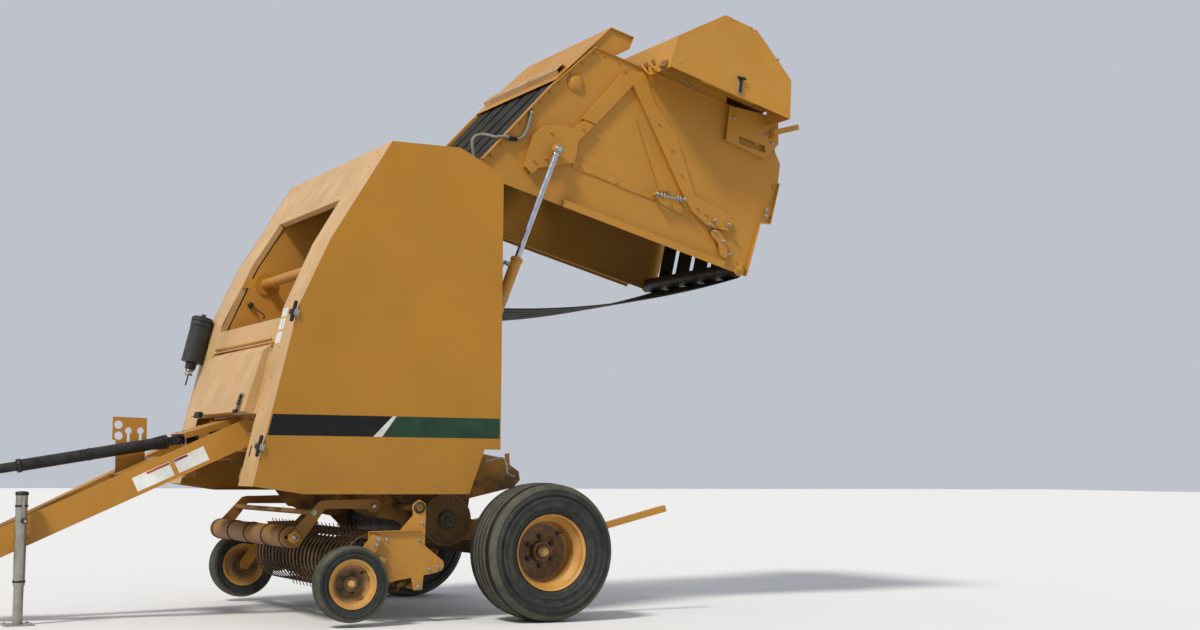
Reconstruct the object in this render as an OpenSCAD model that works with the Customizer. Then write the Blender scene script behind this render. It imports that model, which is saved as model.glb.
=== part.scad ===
// Round baler, parked on its jack with the tailgate raised.
// Millimetres. +X points forward to the hitch, +Y to the left and +Z up, with Z = 0 on the floor.
// Inside the modules X is counted from the wheel axle, and place() then centres the whole machine.
// Tailgate parts are drawn closed and swung up about the tailgate hinge by raised().

/* [Chamber] */
// Distance between the inner faces of the chamber side plates
chamber_w = 1180; // [1100:10:1240]
// Thickness of the chamber side plates
plate_t = 8; // [5:1:10]
// Thickness of the folded sheet covers
sheet_t = 4; // [3:1:5]
// Overall width over the side shields
shield_w = 1872; // [1860:4:1900]
// Height of the ridge of the front cover
ridge_z = 2727; // [2715:5:2760]
// Height of the lower edge of the side shields
skirt_z = 720; // [710:2:730]

/* [Tailgate] */
// Angle to which the tailgate is raised
open_deg = 75; // [60:1:78]
// Distance of the tailgate hinge ahead of the axle
hinge_x = 250; // [240:2:260]
// Height of the tailgate hinge
hinge_z = 2576; // [2560:2:2585]
// Radius of the tailgate hinge pin
hinge_r = 30; // [22:1:34]
// Depth of the twine and net box behind the tailgate
net_box_depth = 470; // [420:10:500]

/* [Belts] */
// Number of chamber belts
belt_n = 5; // [4:1:5]
// Width of a belt
belt_w = 178; // [150:2:190]
// Free gap between two belts
belt_gap = 59; // [45:1:62]
// Thickness of a belt
belt_t = 8; // [6:1:10]

/* [Wheels] */
// Outer radius of the main tyres
tyre_r = 394; // [385:1:400]
// Width of the main tyres
tyre_w = 343; // [320:1:350]
// Radius of the main rim at its flange
rim_r = 209; // [204:1:214]
// Distance of the main tyre's centre plane from the middle of the machine
track_half = 1077; // [1070:1:1090]
// Radius of the main wheel spindles
spindle_r = 30; // [24:1:34]
// Outer radius of the gauge wheels
gauge_r = 210; // [200:1:215]
// Width of the gauge wheels
gauge_w = 100; // [80:2:110]
// Free height of the gauge wheels above the floor
gauge_lift = 25; // [20:1:40]

/* [Pickup] */
// Overall width over the pickup side plates
pickup_w = 1900; // [1880:4:1920]
// Radius of the pickup reel at its tine tips
tine_r = 225; // [200:5:228]
// Diameter of a tine
tine_d = 6; // [5:0.5:8]
// Number of tine bars on the reel
bar_n = 4; // [4:1:5]
// Number of tines on each bar
tine_n = 24; // [16:1:26]
// Radius of the crop press roller
press_r = 60; // [50:1:64]

/* [Tongue] */
// Depth of the tongue beams
beam_h = 150; // [130:5:160]
// Width of the tongue beams
beam_w = 75; // [65:5:85]
// Radius of the hitch pin's bore
pin_bore_r = 16.5; // [13:0.5:20]
// Opening of the hitch clevis between its ears
clevis_gap = 50; // [40:1:60]
// Radius of the bore in the driveline's tractor yoke
yoke_bore_r = 17.5; // [17.5:0.1:22.3]

/* [Hidden] */
$fn = 48;

// Colours
yellow = [0.80, 0.55, 0.20];
dark = [0.16, 0.16, 0.17];
steel = [0.62, 0.63, 0.65];
black = [0.09, 0.09, 0.10];
dirty = [0.52, 0.36, 0.17];

// Clearances
seat = 0.3;          // between parts that lie on each other
fit = 0.05;          // radial, between a pin and its bore
air = 6;             // between parts that move past each other
belt_seat = 0.4;     // between a belt and its roller

// Lateral layers, from the inside out
in_y = chamber_w / 2;
plate_y = in_y + plate_t;
gate_in_y = plate_y + air;
gate_t = 8;
gate_y = gate_in_y + gate_t;
shield_y = shield_w / 2;
cover_y = shield_y - sheet_t - air;
cyl_y = 697;

// Helpers

// Everything is drawn from the axle and then moved so that the origin is the middle of the footprint
module place() {
    translate([-mid_x, 0, 0]) children();
}

// An outline drawn in X and Z, extruded from y0 to y1
module slab(y0, y1) {
    translate([0, y1, 0]) rotate([90, 0, 0]) linear_extrude(y1 - y0) children();
}

// A part and its mirror image on the other side of the machine
module both_sides() {
    children();
    mirror([0, 1, 0]) children();
}

// An outline drawn in Y and Z, extruded from x0 to x1
module through_x(x0, x1) {
    translate([x0, 0, 0]) rotate([90, 0, 90]) linear_extrude(x1 - x0) children();
}

// A cylinder along Y
module rod_y(x, z, r, y0, y1) {
    translate([x, y0, z]) rotate([-90, 0, 0]) cylinder(r = r, h = y1 - y0);
}

// A cylinder along Z
module post(x, y, r, z0, z1) {
    translate([x, y, z0]) cylinder(r = r, h = z1 - z0);
}

// A box between two corners
module box(a, b) {
    translate(a) cube(b - a);
}

// Swings tailgate parts up from the closed position
module raised() {
    translate([hinge_x, 0, hinge_z]) rotate([0, open_deg, 0]) translate([-hinge_x, 0, -hinge_z]) children();
}

// A closed tailgate point (X, Z) in the raised position
function lift(p) = [
    hinge_x + (p[0] - hinge_x) * cos(open_deg) + (p[1] - hinge_z) * sin(open_deg),
    hinge_z - (p[0] - hinge_x) * sin(open_deg) + (p[1] - hinge_z) * cos(open_deg)
];

// A point on a circle around c
function at(c, r, a) = [c[0] + r * cos(a), c[1] + r * sin(a)];

// The points of an arc around c
function arc(c, r, a0, a1, n) = [for (i = [0:n]) at(c, r, a0 + (a1 - a0) * i / n)];

function unit(v) = v / norm(v);
function left_of(v) = [-v[1], v[0]];

// The mitred normal of an open path at point i, scaled so that both walls keep their thickness
function miter(p, i) =
    let (a = i == 0 ? unit(p[1] - p[0]) : unit(p[i] - p[i - 1]),
         b = i == len(p) - 1 ? a : unit(p[i + 1] - p[i]),
         m = unit(left_of(a) + left_of(b)))
    m / (m * left_of(a));

// A strip of thickness t to the left of an open path
function strip(p, t) = concat(p, [for (i = [len(p) - 1:-1:0]) p[i] + miter(p, i) * t]);

// A folded sheet that follows a path in X and Z
module sheet(p, t, y0, y1) {
    slab(y0, y1) polygon(strip(p, t));
}

// A bar along the line from p to q in X and Z, with its thickness t to the left of the line
module bar(p, q, t, y0, y1) {
    sheet([p, q], t, y0, y1);
}

// Front profile of the machine, from the foot of the front columns up to the ridge and over the roof
front_path = [[1662, skirt_z + 42], [1426, 1764], [1249, 2149], [897, ridge_z]];
roof_path = [[897, ridge_z], [477, ridge_z]];
function front_x(z) = lookup(z, [for (p = front_path) [p[1], p[0]]]);
// Inner face of the front sheets at height z, with the seat for what carries them
function front_in(z) = front_x(z) - sheet_t * 1.18 - seat;

// Tailgate layout, closed
gate_front_x = 176;
gate_outline = [
    [gate_front_x, 591], [gate_front_x, hinge_z], [213, hinge_z + 71], [-521, 2263], [-875, 2036], [-875, 740],
    [-710, 585], [-636, 521], [-500, 503], [-215, 500], [-200, 576]
];
lobe_r = 80;

// Rollers: centre and radius, those of the tailgate in its closed position
front_roller = [[750, 1980], 110];
floor_roller = [[455, 570], 130];
starter_roller = [[880, 900], 100];
upper_starter = [[1030, 1135], 90];
top_roller = [[-604, 2098], 85];
rear_roller = [[-735, 725], 90];
low_roller = [[146, 646], 50];

// Belt geometry, followed clockwise as seen from the left so that the thickness lies outside the rollers
function wrap_r(r) = r[1] + belt_seat;
// Direction in which a belt leaves roller a for roller b, as the angle of its outer normal
function leave(a, b) =
    atan2(b[0][1] - a[0][1], b[0][0] - a[0][0]) + acos((a[1] - b[1]) / norm(b[0] - a[0]));
// The same angle, brought just below the one before it
function turn(a0, a1) = a1 > a0 ? turn(a0, a1 - 360) : a1;
// Angles at which the slack run leaves the front roller and meets the low roller
slack_from = -84;
slack_to = -107.4;
slack_a = at(front_roller[0], wrap_r(front_roller), slack_from);
slack_b = at(lift(low_roller[0]), wrap_r(low_roller), slack_to);
dir_a = [sin(slack_from), -cos(slack_from)];
dir_b = [sin(slack_to), -cos(slack_to)];
// The two end directions meet here, so the run is one smooth curve
slack_s = ((slack_b[0] - slack_a[0]) * dir_b[1] - (slack_b[1] - slack_a[1]) * dir_b[0])
    / (dir_a[0] * dir_b[1] - dir_a[1] * dir_b[0]);
slack_c = slack_a + dir_a * slack_s;
// Joint between the free run and the belts carried by the tailgate
slack_end_t = 0.998;
function slack_at(t) = slack_a * (1 - t) * (1 - t) + slack_c * 2 * t * (1 - t) + slack_b * t * t;
slack_curve = [for (i = [1:14]) slack_at(slack_end_t * i / 14)];
// Straight run between the tailgate's top roller and the front roller, and where it changes hands
top_deg = leave([lift(top_roller[0]), top_roller[1]], front_roller);
run_t = at(lift(top_roller[0]), wrap_r(top_roller), top_deg);
run_f = at(front_roller[0], wrap_r(front_roller), top_deg);
function run_at(t) = run_t * (1 - t) + run_f * t;
function lower(p) = [
    hinge_x + (p[0] - hinge_x) * cos(open_deg) - (p[1] - hinge_z) * sin(open_deg),
    hinge_z + (p[0] - hinge_x) * sin(open_deg) + (p[1] - hinge_z) * cos(open_deg)
];
// The part of a belt that lies on a roller
function wrap(r, a0, a1) = arc(r[0], wrap_r(r), a0, a1, max(2, ceil(abs(a1 - a0) / 6)));

// Cylinder layout: pin on the tailgate, closed, and foot on the frame
cyl_pin = [-125, 2137];
cyl_foot = [319, 1300];
cyl_top = lift(cyl_pin);
cyl_len = norm(cyl_top - cyl_foot);
cyl_tilt = atan2(cyl_top[0] - cyl_foot[0], cyl_top[1] - cyl_foot[1]);
barrel_len = 895;

// Axle and wheels
axle_z = tyre_r;
beam_half = 50;
// Reach of the main wheel's hub inside and outside its centre plane
hub_half = 86;
hub_out = hub_half * 0.2;

// Pickup
pick_pivot = [704, 645];
reel_c = [940, 330];
gauge_c = [1140, gauge_r + gauge_lift];
press_pivot = [912, 650];
press_c = [1378, 480];
press_y = 760;

// Tongue: the top outer edge of the left beam, from the frame face to the hitch
tongue_back_x = 1500;
tongue_tip_x = 2990;
tongue_y0 = 655;
tongue_yaw = -0.194;
tongue_z0 = 1886;
tongue_dip = -0.481;
function tongue_top(x) = tongue_z0 + tongue_dip * x;
function tongue_out(x) = tongue_y0 + tongue_yaw * x;
// Gusset plate between the beams, which carries the hose holder
gusset_x = [1994, 2202];
function gusset_top(x) = tongue_top(x) - 5;
hitch_z = tongue_top(tongue_tip_x) - beam_h / 2 + 10;
hitch_pin_x = tongue_tip_x + 160;

// Driveline
joint_x = 1850;
joint_z = 1020;
line_dip = 10;
line_len = 1560;
yoke_r = 46;
function line_at(s) = [joint_x + s * cos(line_dip), joint_z - s * sin(line_dip)];

// Rear stub of the tailgate, closed, which reaches furthest back
stub_foot = [-800, 690];
stub_tip = [-905, 516];
stub_w = 36;

front_reach = joint_x + line_len * cos(line_dip) + yoke_r * sin(line_dip);
rear_reach = min([for (s = [0, 1]) lift(stub_tip + left_of(unit(stub_tip - stub_foot)) * stub_w * s)[0]]);
mid_x = (front_reach + rear_reach) / 2;

// Main frame: chamber side plates, cross members, brackets and pins
frame_outline = [
    [196, 960], [196, hinge_z], [214, hinge_z + 62], [470, 2690], [868, 2690], [1212, 2125], [1384, 1750],
    [1500, 1260], [1500, 930], [1130, 800], [1000, 640], [912, 600], [700, 560], [560, 430],
    [300, axle_z + beam_half + seat], [-95, axle_z + beam_half + seat], [-95, 505], [110, 540], [262, 575],
    // Bracket behind the notch of the side shield
    [246, 690], [-44, 756], [-85, 801], [-76, 851], [-3, 901], [46, 935]
];
hinge_arms_z = [1075, 1950, 2420];
front_beams = [[2565, 2640, cover_y], [1590, 1690, cover_y], [2440, 2500, cover_y]];
hinge_arm_x = 202;
shield_pin_y = shield_y - 16;
pin_r = 7;
// Yellow tube across the front opening
front_tube = [1165, 2030];
// Hinge of the front door, just ahead of the cover, and the layers of its brackets
door_pin = [front_x(1555) + 8, 1555];
door_half = 634;
door_bracket_y = [door_half - 12, door_half - 2];
column_feet = [[800, 860], [1200, 1260], [2000, 2060]];

module side_plate() {
    slab(in_y, plate_y) union() {
        polygon(frame_outline);
        translate([hinge_x, hinge_z]) circle(r = lobe_r);
    }
}

// A channel across the front, ahead of the side plates, whose web follows the cover's slope
beam_t = 6;
beam_d = 38;
beam_half_y = in_y - seat;
module front_beam(z0, z1, half) {
    sheet([
        [front_in(z1) - beam_d, z1], [front_in(z1), z1], [front_in(z0), z0], [front_in(z0) - beam_d, z0]
    ], -beam_t, -half, half);
}

// An arm that carries a front shield's hinge pin
module hinge_arm(z) {
    box([hinge_arm_x, plate_y - 1, z], [hinge_arm_x + 24, shield_pin_y - 20, z + 30]);
    box([hinge_arm_x + 6, shield_pin_y - 30, z], [hinge_arm_x + 18, shield_pin_y, z + 12]);
    post(hinge_arm_x + 12, shield_pin_y, 9, z, z + 12);
    post(hinge_arm_x + 12, shield_pin_y, pin_r, z + 6, z + 62);
}

module main_frame() {
    color(yellow) place() union() {
        both_sides() {
            side_plate();
            rod_y(hinge_x, hinge_z, hinge_r, in_y - 30, gate_y + 24);
            rod_y(hinge_x, hinge_z, hinge_r + 14, gate_y + 21, gate_y + 30);
            for (z = hinge_arms_z) hinge_arm(z);
            rod_y(cyl_foot[0], cyl_foot[1], 16, plate_y - 1, cyl_y + 28);
            rod_y(cyl_foot[0], cyl_foot[1], 60, plate_y - 1, plate_y + 12);
            rod_y(pick_pivot[0], pick_pivot[1], 20, plate_y - 1, pickup_w / 2 + 12);
            rod_y(press_pivot[0], press_pivot[1], 16, plate_y - 1, press_y + 20);
        }
    }
}

// Beams between and ahead of the side plates, and the blocks that carry the front columns
module frame_beams() {
    color(yellow) place() {
        both_sides() for (f = column_feet)
            slab(plate_y + seat, cover_y) polygon([
                [front_in(f[0]), f[0]], [front_in(f[1]), f[1]], [front_in(f[1]) - 60, f[1]], [front_in(f[1]) - 60, f[0]]
            ]);
        for (b = front_beams) front_beam(b[0], b[1], b[2]);
        // Hinge pins of the front door
        both_sides() union() {
            slab(door_bracket_y[0], door_bracket_y[1]) polygon([
                [door_pin[0] - 8, door_pin[1] - 8], [door_pin[0] + 7, door_pin[1] - 8], [door_pin[0] + 7, door_pin[1] + 6],
                [front_in(1566) - 1, 1566], [front_in(1593) - 1, 1593], [1426, 1593], [1426, 1574]
            ]);
            rod_y(door_pin[0], door_pin[1], 5, door_bracket_y[0] - 26, door_bracket_y[0] + 2);
        }
        // Tongue channel and roof channel
        difference() {
            box([1380, -beam_half_y, 960], [tongue_back_x, beam_half_y, 1150]);
            box([1379, -in_y, 970], [tongue_back_x - 12, in_y, 1140]);
        }
        difference() {
            box([600, -beam_half_y, 2560], [680, beam_half_y, 2640]);
            box([606, -in_y, 2559], [674, in_y, 2634]);
        }
        // Front wall of the chamber
        sheet([[1128, 1235], [1010, 1700], [905, 1905]], 5, -beam_half_y, beam_half_y);
        // Rear cross tube behind the floor roller
        difference() {
            rod_y(262, 500, 30, -beam_half_y, beam_half_y);
            rod_y(262, 500, 24, -in_y, in_y);
        }
    }
}

module axle() {
    color(dirty) place() union() {
        difference() {
            box([-beam_half, -880, axle_z - beam_half], [beam_half, 880, axle_z + beam_half]);
            box([-beam_half + 8, -870, axle_z - beam_half + 8], [beam_half - 8, 870, axle_z + beam_half - 8]);
            // Drain hole
            post(0, 0, 12, axle_z - beam_half - 1, axle_z - beam_half + 10);
        }
        both_sides() rod_y(0, axle_z, spindle_r, 875, track_half + hub_out + 4);
        both_sides() rod_y(0, axle_z, spindle_r + 10, track_half + hub_out + 2, track_half + hub_out + 12);
        both_sides() rod_y(0, axle_z, 48, 878, track_half - hub_half - air / 2);
    }
}

// One beam of the tongue, cut square to the frame at its rear end; inset = 0 is the outside, a wall's thickness the inside
module tongue_beam(inset) {
    run = tongue_tip_x - tongue_back_x + 200;
    yaw = atan(tongue_yaw);
    dip = atan(tongue_dip * cos(yaw));
    difference() {
        translate([tongue_back_x - 100, tongue_out(tongue_back_x - 100), tongue_top(tongue_back_x - 100)])
            rotate([0, 0, yaw]) rotate([0, -dip, 0]) translate([0, inset - beam_w, inset - beam_h])
                cube([run / cos(dip), beam_w - 2 * inset, beam_h - 2 * inset]);
        if (inset <= 0) {
            box([0, -1000, 0], [tongue_back_x + seat, 1000, 2000]);
            box([tongue_tip_x, -1000, 0], [tongue_tip_x + 1000, 1000, 2000]);
        }
    }
}

module tongue() {
    color(yellow) place() difference() {
        union() {
            both_sides() tongue_beam(0);
            box([tongue_back_x + seat, -420, 960], [tongue_back_x + 14, 420, 1175]);
            // Socket for the jack on the left beam
            box([jack_x - 30, tongue_out(jack_x) - 40, jack_socket_z - 30],
                [jack_x + 30, jack_y - jack_r - seat, jack_socket_z + 30]);
        }
        both_sides() tongue_beam(8);
    }
}

// Shelf for the gearbox, the gusset further forward, and the sloping cover over the gearbox
cover_lean = 1.2;   // how far the cover's lower corner leans back towards the tongue's plate
cover_slope = [[tongue_back_x + 14 + seat + cover_lean, 1160], [1850, 1058]];
module tongue_plates() {
    half = 150;
    color(yellow) place() {
        difference() {
            box([1600, -290, 905], [1800, 290, 917]);
            both_sides() tongue_beam(-seat);
        }
        difference() {
            sheet([[gusset_x[0], gusset_top(gusset_x[0])], [gusset_x[1], gusset_top(gusset_x[1])]], -12, -190, 190);
            both_sides() tongue_beam(-seat);
        }
        union() {
            sheet(cover_slope, -4, -half, half);
            both_sides() slab(half - 4, half) polygon([
                cover_slope[0] - [0, 4], cover_slope[0] - [0, 45], cover_slope[1] - [12, 30], cover_slope[1] - [0, 4]
            ]);
            // Legs down to the shelf
            both_sides() box([1700, half - 4, 917 + seat], [1760, half, 1080]);
        }
    }
}
jack_x = 2740;
jack_y = 205;
jack_r = 32;
jack_socket_z = tongue_top(jack_x) - 85;

module hitch_clevis() {
    ear_t = 22;
    head = [tongue_tip_x + seat, tongue_tip_x + 60];
    color(dark) place() difference() {
        union() {
            box([head[0], -80, hitch_z - 70], [head[1], 80, hitch_z + 70]);
            for (s = [-1, 1])
                translate([0, 0, hitch_z + s * (clevis_gap + ear_t) / 2 - ear_t / 2]) {
                    box([head[1] - 5, -48, 0], [hitch_pin_x, 48, ear_t]);
                    translate([hitch_pin_x, 0, 0]) cylinder(r = 48, h = ear_t);
                }
        }
        post(hitch_pin_x, 0, pin_bore_r, hitch_z - 100, hitch_z + 100);
    }
}

module gearbox() {
    color(dark) place() union() {
        box([1590, -95, 917 + seat], [1750, 95, 1082]);
        box([1600, -120, 940], [1740, 120, 1060]);
        translate([joint_x, 0, joint_z]) rotate([0, line_dip, 0]) {
            translate([-125, 0, 0]) rotate([0, 90, 0]) cylinder(r = 32, h = 80);
            translate([-90, 0, 0]) rotate([0, 90, 0]) cylinder(r = 16, h = 82);
            translate([-14, -13, -18]) cube([30, 26, 36]);
            translate([0, -48, 0]) rotate([-90, 0, 0]) cylinder(r = 12, h = 96);
        }
    }
}

// Parking rest that holds the front of the driveline
rest_s = 1150;
module driveline_rest() {
    c = line_at(rest_s);
    foot_z = hitch_z + 70 + seat;
    color(yellow) place() difference() {
        union() {
            box([tongue_tip_x + 5, -60, foot_z], [tongue_tip_x + 55, 60, foot_z + 12]);
            box([c[0] - 6, -30, tongue_top(c[0] - 6) + 2 * seat], [tongue_tip_x + 8, 30, foot_z + 60]);
            box([c[0] - 6, -30, foot_z + 5], [c[0] + 6, 30, c[1] - 20]);
            box([c[0] - 6, -52, c[1] - 60], [c[0] + 6, 52, c[1] + 30]);
        }
        translate([c[0], 0, c[1]]) rotate([0, line_dip, 0]) {
            translate([-60, 0, 0]) rotate([0, 90, 0]) cylinder(r = tube_r + 1, h = 120);
            translate([-60, -tube_r - 1, 0]) cube([120, 2 * tube_r + 2, 100]);
        }
    }
}
tube_r = 27;
shroud_r = 34;

// Front cover: folded sheet over the front with its big opening, the columns, the roof and the sill
opening_top_z = 2422;
sill_z = 1709;
door_low_z = 1165;
column_in_y = 640;
module front_cover() {
    path = concat(front_path, [roof_path[1], [477, ridge_z - 28]]);
    color(yellow) place() difference() {
        sheet(path, sheet_t, -cover_y, cover_y);
        // Opening between the top cover and the sill
        through_x(1000, 1700) polygon([
            [-636, sill_z], [636, sill_z], [581, opening_top_z], [-581, opening_top_z]
        ]);
        // Below the sill the front door and the tongue have the space between the columns
        through_x(1200, 1800) polygon([
            [-column_in_y, 790], [-column_in_y - 12, skirt_z], [column_in_y + 12, skirt_z], [column_in_y, 790],
            [column_in_y, door_pin[1] + 18], [-column_in_y, door_pin[1] + 18]
        ]);
    }
}

// Door below the sill: a raised panel with a flat rim, hung at its top edge
module front_door() {
    face_half = 592;
    top = door_pin[1] + 7;
    rim_top = door_pin[1] - 14;
    face = [
        [front_x(door_low_z) - 4, door_low_z], [1590, door_low_z + 2], [1628, door_low_z + 14], [1520, rim_top - 12],
        [front_x(top) - 4, top]
    ];
    eye_y = [face_half + 6, door_bracket_y[0] - 2];
    color(yellow) place() union() {
        sheet(face, sheet_t, -face_half, face_half);
        both_sides() slab(face_half - 4, face_half) polygon(face);
        both_sides() sheet([[front_x(door_low_z), door_low_z], [front_x(rim_top), rim_top]], sheet_t, face_half - 3, door_half);
        both_sides() difference() {
            union() {
                rod_y(door_pin[0], door_pin[1], 9, eye_y[0], eye_y[1]);
                box([front_x(rim_top) - 4, eye_y[0], rim_top - 14], [door_pin[0] + 5, eye_y[1], door_pin[1]]);
            }
            rod_y(door_pin[0], door_pin[1], 5 + fit, face_half, door_half);
        }
    }
}

// Yellow tube across the front opening, with its flanges
module opening_tube() {
    color(yellow) place() difference() {
        union() {
            rod_y(front_tube[0], front_tube[1], 32, -in_y + seat, in_y - seat);
            both_sides() rod_y(front_tube[0], front_tube[1], 70, in_y - 12, in_y - seat);
        }
        rod_y(front_tube[0], front_tube[1], 27, -in_y, in_y);
    }
}

// Hose holder on the tongue: a plate with two round holes and two keyholes, beside the driveline
hose_holes = [[2176, 1105], [2174, 1042]];
hose_slots = [[2118, 1072], [2049, 1073]];
module hose_plate() {
    y = -60;
    foot = [[2186, gusset_top(2186) + seat * 1.2], [2020, gusset_top(2020) + seat * 1.2]];
    color(yellow) place() union() {
        slab(y, y + 5) difference() {
            polygon([foot[1], foot[0], [2190, 1017], [2209, 1019], [2209, 1152], [2013, 1147], [2012, 993], [2020, 994]]);
            for (h = hose_holes) translate(h) circle(r = 24);
            for (h = hose_slots) {
                translate(h) circle(r = 19);
                translate(h + [-8, -64]) square([16, 60]);
            }
        }
        sheet(foot, -6, y - 40, y + 5);
    }
}

// Document canister on the right-hand front column
module canister() {
    z0 = 1530;
    tilt = atan((front_x(z0 + 200) - front_x(z0)) / 200);
    color(dark) place() translate([front_x(z0) + 72, -cover_y + 50, z0]) rotate([0, tilt, 0]) union() {
        cylinder(r = 66, h = 270);
        translate([0, 0, 268]) cylinder(r = 70, h = 22);
        box([-69.7, -30, 90], [-55, 30, 130]);
    }
}

// A hollow drum with its shaft; holes in the end plates open the inside
drum_wall = 6;
module drum(c, r, half, shaft_r, shaft_half) {
    holes_at = (r - drum_wall + shaft_r) / 2;
    translate([c[0], 0, c[1]]) union() {
        difference() {
            rod_y(0, 0, r, -half, half);
            rod_y(0, 0, r - drum_wall, -half + 10, half - 10);
            for (a = [0, 120, 240]) rod_y(holes_at * cos(a), holes_at * sin(a), 9, -half - 1, half + 1);
        }
        rod_y(0, 0, shaft_r, -shaft_half, shaft_half);
    }
}

module chamber_rollers() {
    color(dark) place() {
        for (r = [front_roller, floor_roller, starter_roller, upper_starter])
            drum(r[0], r[1], in_y - 18, 28, in_y - seat);
    }
}

// Bearing housings and drive wheels of the floor and starter rollers, outside the plates
module roller_drive() {
    color(dirty) place() both_sides() {
        union() {
            rod_y(floor_roller[0][0], floor_roller[0][1], 62, plate_y + seat, plate_y + 142);
            rod_y(floor_roller[0][0], floor_roller[0][1], 155, plate_y + 138, plate_y + 152);
            rod_y(floor_roller[0][0], floor_roller[0][1], 38, plate_y + 150, plate_y + 172);
        }
        for (r = [starter_roller, upper_starter]) union() {
            rod_y(r[0][0], r[0][1], 48, plate_y + seat, plate_y + 34);
            rod_y(r[0][0], r[0][1], 25, plate_y + 30, plate_y + 70);
        }
    }
}

// Belts

// Lateral start of belt i
function belt_y(i) = -(belt_n * belt_w + (belt_n - 1) * belt_gap) / 2 + i * (belt_w + belt_gap);

module belts(p) {
    for (i = [0:belt_n - 1]) slab(belt_y(i), belt_y(i) + belt_w) polygon(strip(p, belt_t));
}

// Free belt run, from the tailgate's top run round the front roller and back in a slack curve to the low roller
module belt_run() {
    color(black) place() belts(concat([run_at(0.482)], wrap(front_roller, top_deg, slack_from), slack_curve));
}

// Guide arms behind the axle, beside the bale
module guide_arms() {
    arm_y = 840;
    color(yellow) place() both_sides() union() {
        sheet([[-beam_half - seat - 10, 402], [-541, 510], [-958, 613]], -38, arm_y - 19, arm_y + 19);
        box([-beam_half - seat - 12, arm_y - 40, axle_z - 45], [-beam_half - seat, arm_y + 35, axle_z + 45]);
    }
}

module jack_leg() {
    color(dark) place() union() {
        difference() {
            post(jack_x, jack_y, jack_r, 215, 720);
            post(jack_x, jack_y, jack_r - 5, 200, 700);
        }
        translate([jack_x, jack_y, 690]) rotate([-90, 0, 0]) cylinder(r = 14, h = 60);
        box([jack_x - 6, jack_y + 48, 560], [jack_x + 6, jack_y + 60, 696]);
        translate([jack_x, jack_y + 50, 566]) rotate([-90, 0, 0]) cylinder(r = 9, h = 90);
    }
}

module jack_foot() {
    color(steel) place() union() {
        post(jack_x, jack_y, jack_r - 5 - fit, 6, 466);
        box([jack_x - 80, jack_y - 80, 0], [jack_x + 80, jack_y + 80, 8]);
    }
}

// Driveline, drawn along its own axis from the joint
module along_line() {
    place() translate([joint_x, 0, joint_z]) rotate([0, line_dip, 0]) children();
}

module tube_x(r, s0, s1) {
    translate([s0, 0, 0]) rotate([0, 90, 0]) cylinder(r = r, h = s1 - s0);
}

module driveline_rear() {
    color(black) along_line() difference() {
        union() {
            for (s = [-1, 1]) translate([0, s * 31, 0]) {
                translate([0, -13, 0]) rotate([-90, 0, 0]) cylinder(r = 28, h = 26);
                translate([0, -13, -24]) cube([62, 26, 48]);
            }
            tube_x(shroud_r + 6, 56, 76);
            tube_x(shroud_r, 60, 900);
        }
        translate([0, -60, 0]) rotate([-90, 0, 0]) cylinder(r = 12 + fit, h = 120);
        tube_x(tube_r + fit, 240, 901);
    }
}

module driveline_front() {
    color(black) along_line() difference() {
        union() {
            tube_x(tube_r, 560, 1330);
            tube_x(40, 1320, 1340);
            tube_x(72, 1335, 1470);
            tube_x(yoke_r, 1510, line_len);
        }
        tube_x(yoke_bore_r, 1535, line_len + 1);
        tube_x(54, 1400, 1471);
    }
    // Front joint: two yokes on a cross
    color(black) along_line() union() {
        for (s = [-1, 1]) {
            translate([1399, -22, s * 31 - 13]) cube([104, 44, 26]);
            translate([1478, s * 31 - 13, -22]) cube([34, 26, 44]);
        }
        translate([1490, 0, -40]) cylinder(r = 11, h = 80);
        translate([1490, -40, 0]) rotate([-90, 0, 0]) cylinder(r = 11, h = 80);
    }
}

// Front side shields: flat sheet panels hung at their rear edge
shield_outline = [
    [200, 976], [300, 976], [392, skirt_z], [1375, skirt_z], [1662, skirt_z + 42], [1426, 1764], [1249, 2149],
    [897, ridge_z], [477, ridge_z], [200, 2590]
];
module front_shield() {
    in = shield_y - sheet_t;
    union() {
        slab(in, shield_y) polygon(shield_outline);
        // Stiffening lips along the rear, lower and upper edges
        bar([1370, skirt_z], [400, skirt_z], -3, in - 22, in + 1);
        for (z = hinge_arms_z) difference() {
            union() {
                post(hinge_arm_x + 12, shield_pin_y, pin_r + 5, z + 12 + seat, z + 54);
                box([hinge_arm_x + 4, shield_pin_y, z + 12 + seat], [hinge_arm_x + 40, in + 1, z + 54]);
            }
            post(hinge_arm_x + 12, shield_pin_y, pin_r + fit, z, z + 80);
        }
    }
}
module front_shield_left() { color(yellow) place() front_shield(); }
module front_shield_right() { color(yellow) place() mirror([0, 1, 0]) front_shield(); }

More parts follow.
